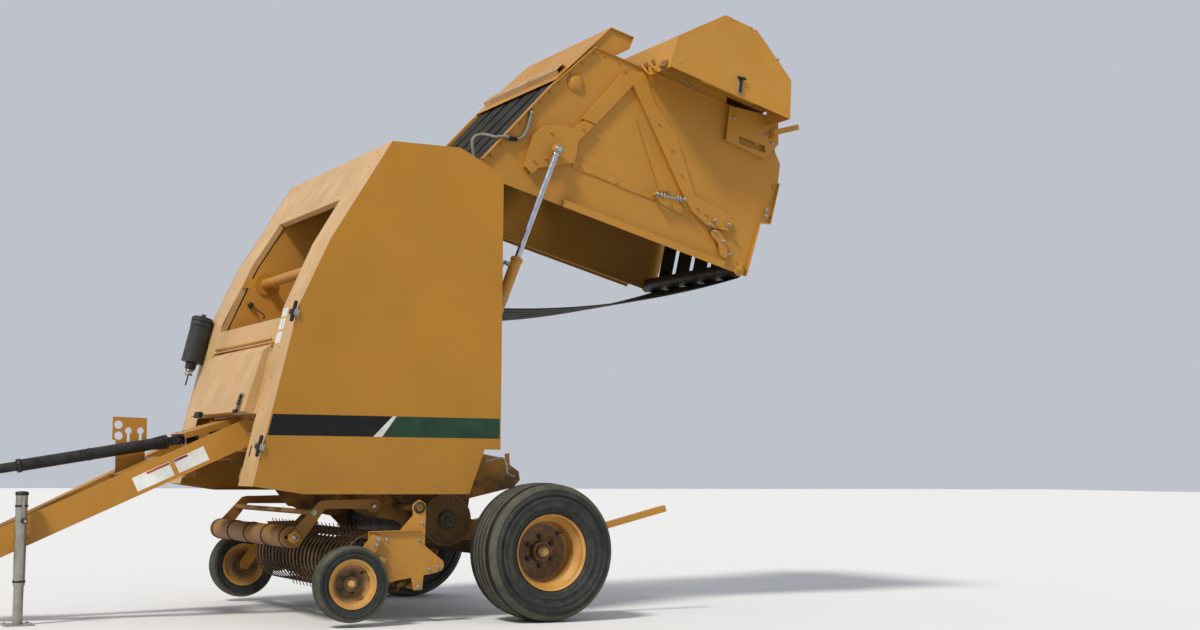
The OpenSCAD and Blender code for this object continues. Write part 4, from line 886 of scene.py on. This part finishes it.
def make_jack_trim():
    x, y = JACK
    p = Piece(black_steel, zinc, black_rubber)
    p.lathe(at(x, y, 704), Z_DIR, [(34, 0), (36, 3), (36, 14), (30, 20), (12, 22)])
    for z in (230, 640):
        p.collar(at(x, y, z), Z_DIR, 32.3, 35, 12, 1, 32)
    # Crank grip and the crank's bolt
    p.lathe(at(x, y + 66, 566), Y_DIR, [(13, 0), (14.5, 4), (14.5, 66), (13, 70), (10, 72)], 24, 2)
    p.bolt(at(x, y + 60, 690), Y_DIR, 14, 1)
    p.make("jack_fittings", "chassis", "zinc_steel")
    p = Piece(zinc)
    for sx, sy in rect(-60, 60, -60, 60):
        p.bolt(at(x + sx, y + sy, 8), Z_DIR, 10, 0, False)
    p.make("jack_foot_rivets", "jack", "zinc_steel")


# Drive chain behind the left shield

CHAIN_Y = 650
PITCH = 25.4
CHAIN_WHEELS = [(FLOOR_ROLLER, 92), (STARTER_ROLLERS[0], 62), (STARTER_ROLLERS[1], 62)]


def chain_loop(wheels):
    """The loop round several sprockets, taken anticlockwise, as points in X and Z."""
    pts = []
    for i, (c, r) in enumerate(wheels):
        (cp, rp), (cn, rn) = wheels[i - 1], wheels[(i + 1) % len(wheels)]
        back, ahead = Vector(c) - Vector(cp), Vector(cn) - Vector(c)
        arrive = math.atan2(back.y, back.x) - math.acos((rp - r) / back.length)
        go = math.atan2(ahead.y, ahead.x) - math.acos((r - rn) / ahead.length)
        while go < arrive:
            go += 2 * math.pi
        steps = max(2, int((go - arrive) / 0.08))
        for k in range(steps + 1):
            t = arrive + (go - arrive) * k / steps
            pts.append(Vector((c[0] + r * math.cos(t), c[1] + r * math.sin(t))))
    return pts


def even_points(pts, pitch):
    """Points at even steps of about pitch along a closed loop, an even number of them."""
    closed = pts + [pts[0]]
    total = sum((b - a).length for a, b in zip(closed, closed[1:]))
    n = int(total / pitch) // 2 * 2
    out, run, k = [], 0.0, 0
    for a, b in zip(closed, closed[1:]):
        d = (b - a).length
        while k < n and run + d >= total * k / n:
            out.append(a.lerp(b, (total * k / n - run) / max(d, 1e-6)))
            k += 1
        run += d
    return out


def sprocket(p, x, y, z, pitch_r, width):
    """A toothed disc square to Y, its near face at y - width / 2."""
    teeth = int(2 * math.pi * pitch_r / PITCH)
    outline = []
    for t in angles(teeth):
        for share, dr in ((-0.30, -6.5), (-0.14, 5.5), (0.14, 5.5), (0.30, -6.5)):
            a = t + share * 2 * math.pi / teeth
            outline.append(((pitch_r + dr) * math.sin(a), (pitch_r + dr) * math.cos(a)))
    p.slab(outline, at(x, y - width / 2, z), Z_DIR, X_DIR, width, 0, 0.8)


def chain_plate(length):
    """Side view of a link: two round ends with a waist between them."""
    near, far = [(-7, 5), (-4, 7.5), (4, 7.5)], [(length - 4, 7.5), (length + 4, 7.5), (length + 7, 5)]
    top = near + [(length * 0.5, 5.2)] + far
    return top + [(x, -z) for x, z in reversed(top)]


def make_chain():
    p = Piece(casting, zinc)
    for (x, z), r in CHAIN_WHEELS:
        sprocket(p, x, CHAIN_Y, z, r, 10)
    x, z = FLOOR_ROLLER
    p.bolt_circle(at(x, CHAIN_Y + 5, z), Y_DIR, 74, 4, math.pi / 4, 12, 1, False)
    for x, z in STARTER_ROLLERS:
        p.lathe(at(x, CHAIN_Y + 18, z), Y_DIR, [(19, 0), (19, 5), (12, 6), (12, 13), (10, 14)], 24, 1)
    # Arm of the tightener on the slack side
    arm = [(0, -14), (150, -9), (150, 9), (0, 14)]
    p.slab(arm, at(640, 604, 985), (0.35, 0, -0.94), (0.94, 0, 0.35), 8, 0, 1.5)
    p.make("drive_sprockets", "chassis", "dark_steel")

    c = Piece(steel_roller)
    roller = [(3.6, 0), (3.6, 7.5), (7.2, 7.6), (7.2, 18.4), (3.6, 18.5), (3.6, 26)]
    pts = even_points(chain_loop(CHAIN_WHEELS), PITCH)
    for i, a in enumerate(pts):
        run = pts[(i + 1) % len(pts)] - a
        u, v = Vector((run.x, 0, run.y)), Vector((-run.y, 0, run.x))
        # Every second link sits outside its neighbours
        far = 9.5 if i % 2 else 6.8
        for y in (-far, far):
            c.slab(chain_plate(run.length), at(a.x, CHAIN_Y + y + 1.2, a.y), u, v, 2.4, 0, 0.4)
        c.lathe(at(a.x, CHAIN_Y - 13, a.y), Y_DIR, roller, 8, 0, False)
    c.make("drive_chain", "chassis", "dark_steel")


def make_drive_hardware():
    p = Piece(zinc, casting, paint_dirty)
    x, z = FLOOR_ROLLER
    disc_y = 750
    for s, out in OUTWARD:
        # The drive disc: rolled rim, hub, spokes, bolts and the shaft's end
        centre = at(x, s * disc_y, z)
        p.bolt_circle(off(centre, out, 15), out, 46, 6, math.pi / 6, 9, 1, False)
        ring = [(134, -1), (134, 3), (140, 6), (150, 6), (154, 3), (154, -1)]
        p.lathe(centre, out, ring, 64, 2, closed=True)
        p.lathe(centre, out, [(38.4, -1), (54, -1), (54, 12), (48, 16), (38.4, 16)], 40, 1, closed=True)
        for t in angles(24):
            radial = Vector((math.cos(t), 0, math.sin(t)))
            p.block(off(centre, radial, 97, out, 2), (70, 6, 6), radial, out.cross(radial), 2)
        p.lathe(off(centre, out, 20), out, [(26, 0), (26, 6), (16, 8), (16, 16), (13, 18), (0, 18.5)], 24, 1)
        for sx, sz in STARTER_ROLLERS:
            p.bolt_circle(at(sx, s * 632, sz), out, 38, 3, 0.5, 10, 0, False)
        # Bolts of the side plates' seams
        seams = ((330, 1480), (330, 1560), (420, 1480), (420, 1560), (330, 2200), (330, 2300))
        p.bolts(seams, at, PLATE_Y, s)
    p.make("drive_fasteners", "chassis", "dark_steel")


# Lift cylinders and hinge

def make_cylinder_trim():
    top = lift(*CYL_PIN)
    axis = Vector((top[0] - CYL_FOOT[0], 0, top[1] - CYL_FOOT[1])).normalized()
    across = Vector((-axis.z, 0, axis.x))
    barrel, rods = Piece(paint_barrel, zinc, black_steel), Piece(chrome, zinc, paint_barrel)
    pins = Piece(zinc, casting)
    port = [(14, 0), (14, 16), (11, 18), (11, 26), (13, 27), (13, 36), (9, 37)]
    # Fitted parts are a little wider than the barrel and the rod that they sit on
    barrel_r, rod_r = 34.4, 20.3
    pin_y, foot_y, hinge_y = 716, 736, 634
    for s, out in OUTWARD:
        base, head = at(CYL_FOOT[0], s * CYL_Y, CYL_FOOT[1]), at(top[0], s * CYL_Y, top[1])
        gland = [(barrel_r, 0), (38, 2), (38, 20), (36.5, 22.5), (barrel_r, 23)]
        barrel.lathe(off(base, axis, 872), axis, gland, 36, closed=True)
        wiper = [(30, -2), (30, 3.4), (22, 6), (21, 6), (21, -2)]
        barrel.lathe(off(base, axis, 894.5), axis, wiper, 32, 2, closed=True)
        barrel.collar(off(base, axis, 62), axis, barrel_r, 36.5, 16, 2)
        # Ports, and the rigid pipe from the upper port down to the foot, with its two clamps
        for h in (112, 838):
            barrel.lathe(off(base, axis, h, across, -30), -across, port, 16, 1)
        bends = ((838, 64), (832, 70), (818, 71.5), (500, 60), (200, 54), (140, 64))
        barrel.tube(smooth_path([off(base, axis, h, across, -d) for h, d in bends], 6), 5, 10, 1)
        for h in (300, 620):
            barrel.collar(off(base, axis, h), axis, barrel_r - 0.1, 36, 11.6, 0.6, mat=1)
            barrel.block(off(base, axis, h + 6, across, -46), (22, 14, 22), axis, out, 1)

        # Washer and split pin at the rod's pin, the eye's cover ring, and the ring on the rod
        pin = at(top[0], s * pin_y, top[1])
        rods.lathe(pin, out, [(16.3, 0), (26, 0.5), (26, 5), (16.3, 6)], 28, 1, closed=True)
        rods.tube([off(pin, out, 2.8, axis, h) for h in (30, -30)], 2.6, 8, 1)
        cover = [(17, 0), (34.6, 0), (35.6, 1), (35.6, 36), (34.6, 37), (17, 37)]
        rods.lathe(off(head, out, -18.5), out, cover, 40, 2, closed=True)
        rods.collar(off(head, axis, -42), axis, rod_r, 25, 14, 2, 28)

        # The foot's pin, and the cap of the tailgate's hinge
        pins.bolts((CYL_FOOT,), at, foot_y, s, 26)
        hinge = at(HINGE[0], s * hinge_y, HINGE[1])
        cap = 7.5
        pins.lathe(hinge, out, [(44, 0), (46, 1.5), (46, 6), (44, cap)], 36, 1)
        pins.bolt(off(hinge, out, cap), out, 26)
        pins.bolt_circle(off(hinge, out, cap), out, 34, 3, 0.4, 9, 0, False)
    barrel.make("cylinder_fittings", "lift_barrels", "zinc_steel")
    rods.make("rod_end_rings", "lift_rods", "chrome_rod")
    pins.make("hinge_pin_caps", "chassis", "zinc_steel")


# Tailgate

def bolts_along(p, start, end, n, s):
    """A row of n painted bolts on the tailgate's plate, between two closed points."""
    p.bolts([Vector(start).lerp(Vector(end), k / (n - 1)) for k in range(n)], gate, GATE_Y, s, 13, 1)


def tailgate_bearing(p, x, z, r, s):
    """A flanged bearing housing with three bolts and a grease nipple."""
    out, seat = Y_DIR * s, gate(x, s * GATE_Y, z)
    housing = [(r + 12, 0), (r + 12, 5), (r + 8, 7), (r, 8), (r - 6, 20), (r * 0.45, 22), (0, 22.5)]
    p.lathe(seat, out, housing, 36, 1)
    p.bolt_circle(off(seat, out, 6), out, r + 4, 3, 0.3, 10, 0, False)
    p.lathe(off(seat, out, 22), out, [(3, 0), (3, 4), (2, 6), (2.6, 9)], 8)


def tension_rod(p, s):
    """Studs of the tension rod, and the bright sleeve and nuts on it."""
    y, low, high = s * 664, (-137, 1188), (-105, 1386)
    p.bolts((low, high), gate, 678, s, 20)
    foot = gate(low[0], y, low[1])
    d = gate_dir(high[0] - low[0], high[1] - low[1]).normalized()
    p.lathe(off(foot, d, 22), d, [(11.4, 0), (12.2, 1), (12.2, 152), (11.4, 154)], 20)
    for h in (20, 40, 140, 160):
        p.lathe(off(foot, d, h), d, [(17, 0), (18, 1), (18, 11), (17, 12)], 6, 0, False)


def corner_linkage(p, s):
    """Linkage at the lower corner: nuts, the lever on its spacer, and a small hook."""
    out, forward, up = Y_DIR * s, gate_dir(1, 0), gate_dir(0, 1)
    for x, y, z, size in ((-86, 660, 929, 17), (-53, 641, 951, 15), (-96, 660, 822, 17), (-22, 642, 902, 14),
                          (18, 642, 825, 16)):
        p.lathe(gate(x, s * y, z), out, [(size, 0), (size, 3), (size - 2, 4)], 28, 1)
        p.bolt(gate(x, s * (y + 4), z), out, size)
    lever = [(-40, 872), (-32, 918), (-8, 926), (14, 908), (46, 852), (112, 822), (122, 792), (104, 762),
             (62, 778), (8, 796), (-20, 832)]
    p.side_slab(lever, gate(0, s * 632, 0), s, 10, 1, 2, forward, up)
    spacer = rect(-8, 8, -15, 15)
    p.slab(spacer, gate(20, s * 613, 820), *((up, forward) if s > 0 else (forward, up)), 20, 1, 1)
    hook = ((92, 648, 772), (84, 652, 762), (74, 656, 745), (68, 650, 732), (74, 640, 724))
    p.tube(smooth_path([gate(x, s * y, z) for x, y, z in hook], 5), 5, 8)
    p.block(gate(133, s * 628, 655), (62, 40, 26), forward, Y_DIR, 1, 3)


def make_gate_trim():
    p = Piece(zinc, paint_gate)
    for _, s in SIDES:
        bolts_along(p, (40, 2520), (-480, 2248), 7, s)
        bolts_along(p, (-560, 2204), (-835, 2026), 4, s)
        bolts_along(p, (-848, 1960), (-848, 1850), 2, s)
        bolts_along(p, (-846, 1000), (-846, 800), 3, s)
        bolts_along(p, (140, 1940), (140, 840), 10, s)
        bolts_along(p, (-470, 535), (-250, 532), 3, s)
        for x, z, r in ((-604, 2098, 46), (-735, 725, 40), (146, 646, 34)):
            tailgate_bearing(p, x, z, r, s)
        tension_rod(p, s)
        corner_linkage(p, s)
        # Bolts on the braces, the flange beam, the corner plate, the box and the edge strip
        for y, size, mat, places in (
            (640, 14, 1, ((-560, 1480), (-430, 1345), (-300, 1240), (-130, 1070), (-112, 1000))),
            (636, 20, 0, ((-293, 552), (-253, 552))),
            (652, 18, 0, ((-770, 700), (-800, 960), (-735, 640), (-875, 720))),
            (650, 16, 1, ((-230, 2190), (-60, 2180), (-330, 1985), (-20, 2250))),
            (620, 13, 1, ((-93, 1660), (-106, 1930), (-88, 1250))),
        ):
            p.bolts(places, gate, y, s, size, mat)
    p.make("tailgate_fasteners", "tailgate", "zinc_steel")


def make_gate_hose():
    # Over the belts, across the edge strip, and down the outside of the plate
    route = [(160, 498, 2530), (100, 498, 2556), (28, 500, 2592), (-36, 500, 2618), (-76, 502, 2604),
             (-100, 512, 2560), (-94, 560, 2518), (-88, 600, 2506), (-86, 632, 2503), (-96, 650, 2466),
             (-104, 632, 2420), (-128, 627, 2364), (-186, 627, 2340), (-250, 627, 2338), (-305, 626, 2340)]
    pts = smooth_path([gate(x, y, z) for x, y, z in route], 6)
    p = Piece(hose_rubber, black_rubber, zinc)
    p.tube(pts, 10.5, 12)
    # Sleeve where it bends down, the end fitting, and the clip
    p.tube(pts[56:64], 13, 12, 1)
    p.lathe(pts[-1], pts[-1] - pts[-3], [(12, -8), (14, -6), (14, 12), (9, 14), (9, 26), (4, 28)], 16, 2)
    p.block(gate(-106, 620, 2448), (26, 34, 14), gate_dir(1, 0), Y_DIR, 2, 2)
    p.make("gate_hose", "tailgate", "yellow_paint")


def make_hood_trim():
    # The rib on the hood: run goes along it in X and Z, up away from it
    start, half = Vector((-573, 2239)), 556
    run = Vector((-468, -279)).normalized()
    up = Vector((run.y, -run.x))

    def rib_at(along, height):
        c = start + run * along + up * height
        return gate(c.x, 0, c.y)

    p = Piece(black_rubber, paint_chaffy)
    # Chaff that sticks to the rib's front and upper faces
    for a0, h0, a1, h1 in ((69.4, 0, 75.2, 32), (76, 32.4, 140, 32.4)):
        low, high = rib_at(a0, h0), rib_at(a1, h1)
        p.slab(rect(0, (high - low).length / MM, -half, half), low, high - low, -Y_DIR, 0.8, 1, 0.3)
    # Rows of small holes, drawn as thin black discs on the rib: painted shade in place of openings
    for k in range(36):
        for a in (92, 108, 124):
            hole = off(rib_at(a, 33.1), Y_DIR, 30 * k - 525)
            p.lathe(hole, gate_dir(up.x, up.y), [(4.5, 0), (4.5, 0.5), (0, 0.6)], 10, 0, False)
    p.make("hood_rib_holes", "tailgate", "yellow_paint")


def make_box_trim():
    p = Piece(black_rubber, zinc, paint_box)
    for s, out in OUTWARD:
        # Rubber latch on its plate, and the screws of the rear shield
        a, b = gate(-942, s * (SHIELD_Y + 8), 1137), gate(-847, s * (SHIELD_Y + 8), 1122)
        d = (b - a).normalized()
        v = out.cross(d)
        p.block(off((a + b) / 2, out, -4), (100, 34, 8), d, v, 1, 2)
        p.block(off((a + b) / 2, out, 6), (84, 16, 12), d, v, 0, 4)
        p.block(off(a, out, 10), (16, 60, 12), d, v, 0, 4)
        p.bolts(((-1171, 902),), gate, SHIELD_Y, s, 14, 1)
        for x, z in ((-1090, 1560), (-1230, 1380), (-880, 1585), (-870, 760)):
            p.rivet(gate(x, s * SHIELD_Y, z), out, 6, 2)
    p.make("rear_latches", "tailgate", "dark_steel")


def make_cutter_trim():
    forward, up = gate_dir(1, 0), gate_dir(0, 1)
    arms, springs = Piece(paint_box, paint_worn, zinc), Piece(zinc)
    for _, s in SIDES:
        # Spring arms and the bracket of the twine cutter on the box's upper face
        for y0, y1 in ((582, 656), (672, 762)):
            arm = ((-920, y0, 1650), (-906, y0 + 16, 1672), (-880, (y0 + y1) / 2, 1676), (-852, y1 - 8, 1662),
                   (-840, y1, 1648))
            arms.tube(smooth_path([gate(x, s * y, z) for x, y, z in arm], 6), 7, 8)
            arms.block(gate(-900, s * (y0 + 24), 1655), (40, 26, 16), forward, Y_DIR, 1, 2)
        arms.block(gate(-858, s * 850, 1652), (40, 74, 18), forward, Y_DIR, 1, 2)
        for x, y, size in ((-848, 850, 14), (-870, 872, 12)):
            arms.bolt(gate(x, s * y, 1661), up, size, 2)
        # Springs of the cutter between the plate and the box, hooked at both ends
        for (x0, z0), (x1, z1) in (((-892, 1648), (-918, 1563)), ((-880, 1416), (-846, 1330))):
            a, b = gate(x0, s * 700, z0), gate(x1, s * 700, z1)
            d = b - a
            u, v, _ = frame_of(d)
            springs.tube([a - d * 0.2] + coil(a, b, u, v, 9, 9) + [b + d * 0.2], 1.8, 6)
    arms.make("cutter_arms", "tailgate", "dark_steel")
    springs.make("cutter_springs", "tailgate", "zinc_steel")


# Pickup and crop press

def make_pickup_trim():
    x0, z0 = REEL
    p = Piece(zinc, paint_pickup, casting)
    for s, out in OUTWARD:
        plate = ((690, 560), (700, 462), (706, 205), (590, 310), (640, 300),
                 (900, 470), (990, 470), (990, 330))
        p.bolts(plate, at, PICKUP_Y, s, 16)
        # Bearing of the reel, bolts of the gauge wheel's arm, and the pickup's pivot
        p.lathe(at(x0, s * 964, z0), out, [(46, 0), (46, 4), (30, 7), (26, 16), (0, 17)], 32, 1)
        p.bolt_circle(at(x0, s * 967, z0), out, 38, 4, math.pi / 4, 10, 0, False)
        p.bolts(((958, 470), (968, 440)), at, 984, s)
        p.lathe(at(704, s * PICKUP_Y, 645), out, [(34, 0), (34, 3), (24, 5), (24, 7)], 32, 2)
    p.make("pickup_fasteners", "pickup", "dark_steel")

    p = Piece(zinc)
    for k in range(TINES + 1):
        y = (k - TINES / 2) * TINE_PITCH
        p.rivet(at(707, y, 225.3), -Z_DIR, 6)
        p.rivet(at(707, y, 492.4), Z_DIR, 6)
    p.make("band_rivets", "pickup", "zinc_steel")

    p = Piece(steel_tine, casting)
    for a in angles(TINE_BARS, math.radians(20)):
        radial, across = Vector((math.sin(a), 0, math.cos(a))), Vector((math.cos(a), 0, -math.sin(a)))
        for k in range(TINES):
            seat = off(at(x0, (k - (TINES - 1) / 2) * TINE_PITCH, z0), radial, 118)
            # The tine's coil round its bar, and its clamp
            p.tube(coil(off(seat, Y_DIR, -11), off(seat, Y_DIR, 11), radial, across, 18.5, 3), 3.0, 5)
            p.block(off(seat, radial, -16, Y_DIR, 22), (20, 12, 6), across, Y_DIR, 1, 1)
    p.make("tine_coils", "reel", "dark_steel")


def make_press_trim():
    x0, z0 = PRESS_ROLLER
    p = Piece(zinc, paint_pickup)
    corners = [(34 * math.cos(t), 34 * math.sin(t)) for t in angles(6)]
    end = 20
    for s, out in OUTWARD:
        p.bolts(((912, 650), (1262, 616)), at, PRESS_Y, s, 22)
        # The roller's hexagonal end piece and its nut
        p.slab(corners, at(x0, s * PRESS_Y, z0), *((Z_DIR, X_DIR) if s > 0 else (X_DIR, Z_DIR)), end, 1, 3)
        p.lathe(at(x0, s * (PRESS_Y + end), z0), out, [(18, 0), (18, 5), (11, 6), (11, 12), (0, 13)], 24)
    p.make("press_fasteners", "press", "dark_steel")
    p = Piece(black_rubber)
    for y in (-700, -350, 0, 350, 700):
        p.collar(at(x0, y - 8, z0), Y_DIR, 60.3, 64, 16, 2, 40)
    p.make("press_roller_rings", "press_drum", "dark_steel")


def make_notch_trim():
    """The parking wedge's rod and tab, which show in the side shield's notch."""
    p = Piece(zinc, paint_side)
    for _, s in SIDES:
        rod = ((217, 906), (113, 929), (80, 900), (71, 841), (22, 819))
        p.tube(smooth_path([at(x, s * 750, z) for x, z in rod], 8), 7)
        p.side_slab([(50, 860), (80, 862), (84, 955), (56, 960)], at(0, s * 742, 0), s, 5, 1)
    p.make("parking_wedge_rods", "chassis", "zinc_steel")


finish_nodes()
make_wheels()
make_belts()
make_shield_trim()
make_front_trim()
make_door_trim()
make_canister_trim()
make_tongue_trim()
make_driveline_trim()
make_jack_trim()
make_chain()
make_drive_hardware()
make_cylinder_trim()
make_gate_trim()
make_gate_hose()
make_hood_trim()
make_box_trim()
make_cutter_trim()
make_pickup_trim()
make_press_trim()
make_notch_trim()


# Camera, light and floor

# The camera was fitted to the photograph: its place from the wheel axle in metres, its angles in radians
CAMERA_AT = (4.3401, 10.0337, 0.8637)
HEADING, PITCH_UP, ROLL = -2.05512, 0.0925, 0.0069
LENS, LENS_SHIFT = 51.395, -0.00334
SUN_FROM = (0.62, 0.34, 0.80)
FLOOR_HALF = 60.0


def make_camera():
    level = math.cos(PITCH_UP)
    look = Vector((math.cos(HEADING) * level, math.sin(HEADING) * level, math.sin(PITCH_UP)))
    right = Vector((math.sin(HEADING), -math.cos(HEADING), 0.0))
    up = right.cross(look)
    right, up = math.cos(ROLL) * right + math.sin(ROLL) * up, math.cos(ROLL) * up - math.sin(ROLL) * right
    data = bpy.data.cameras.new("camera")
    data.sensor_width = 36.0
    data.lens = LENS
    data.shift_y = LENS_SHIFT
    data.clip_end = 300.0
    cam = add_object("camera", data)
    x, y, z = CAMERA_AT
    cam.matrix_world = Matrix((
        (right.x, up.x, -look.x, x + SHIFT),
        (right.y, up.y, -look.y, y),
        (right.z, up.z, -look.z, z),
        (0, 0, 0, 1),
    ))
    bpy.context.scene.camera = cam


def make_light():
    world = bpy.data.worlds.new("studio")
    bpy.context.scene.world = world
    world.use_nodes = True
    sky = world.node_tree.nodes["Background"]
    sky.inputs["Color"].default_value = (0.86, 0.90, 1.0, 1)
    sky.inputs["Strength"].default_value = 0.60
    sun = bpy.data.lights.new("sun", "SUN")
    sun.energy = 2.9
    sun.angle = math.radians(10)
    sun.color = (1.0, 0.96, 0.90)
    add_object("sun", sun).rotation_euler = Vector(SUN_FROM).to_track_quat("Z", "Y").to_euler()


def make_floor():
    mesh = bpy.data.meshes.new("floor")
    corners = rect(-FLOOR_HALF, FLOOR_HALF, -FLOOR_HALF, FLOOR_HALF)
    mesh.from_pydata([(x, y, 0) for x, y in corners], [], [(0, 1, 2, 3)])
    mat = bpy.data.materials.new("floor_pale")
    mat.use_nodes = True
    bsdf = mat.node_tree.nodes["Principled BSDF"]
    bsdf.inputs["Base Color"].default_value = (0.72, 0.72, 0.70, 1)
    bsdf.inputs["Roughness"].default_value = 0.9
    mesh.materials.append(mat)
    add_object("floor", mesh)


make_camera()
make_light()
make_floor()
bpy.context.scene.view_settings.view_transform = "Standard"
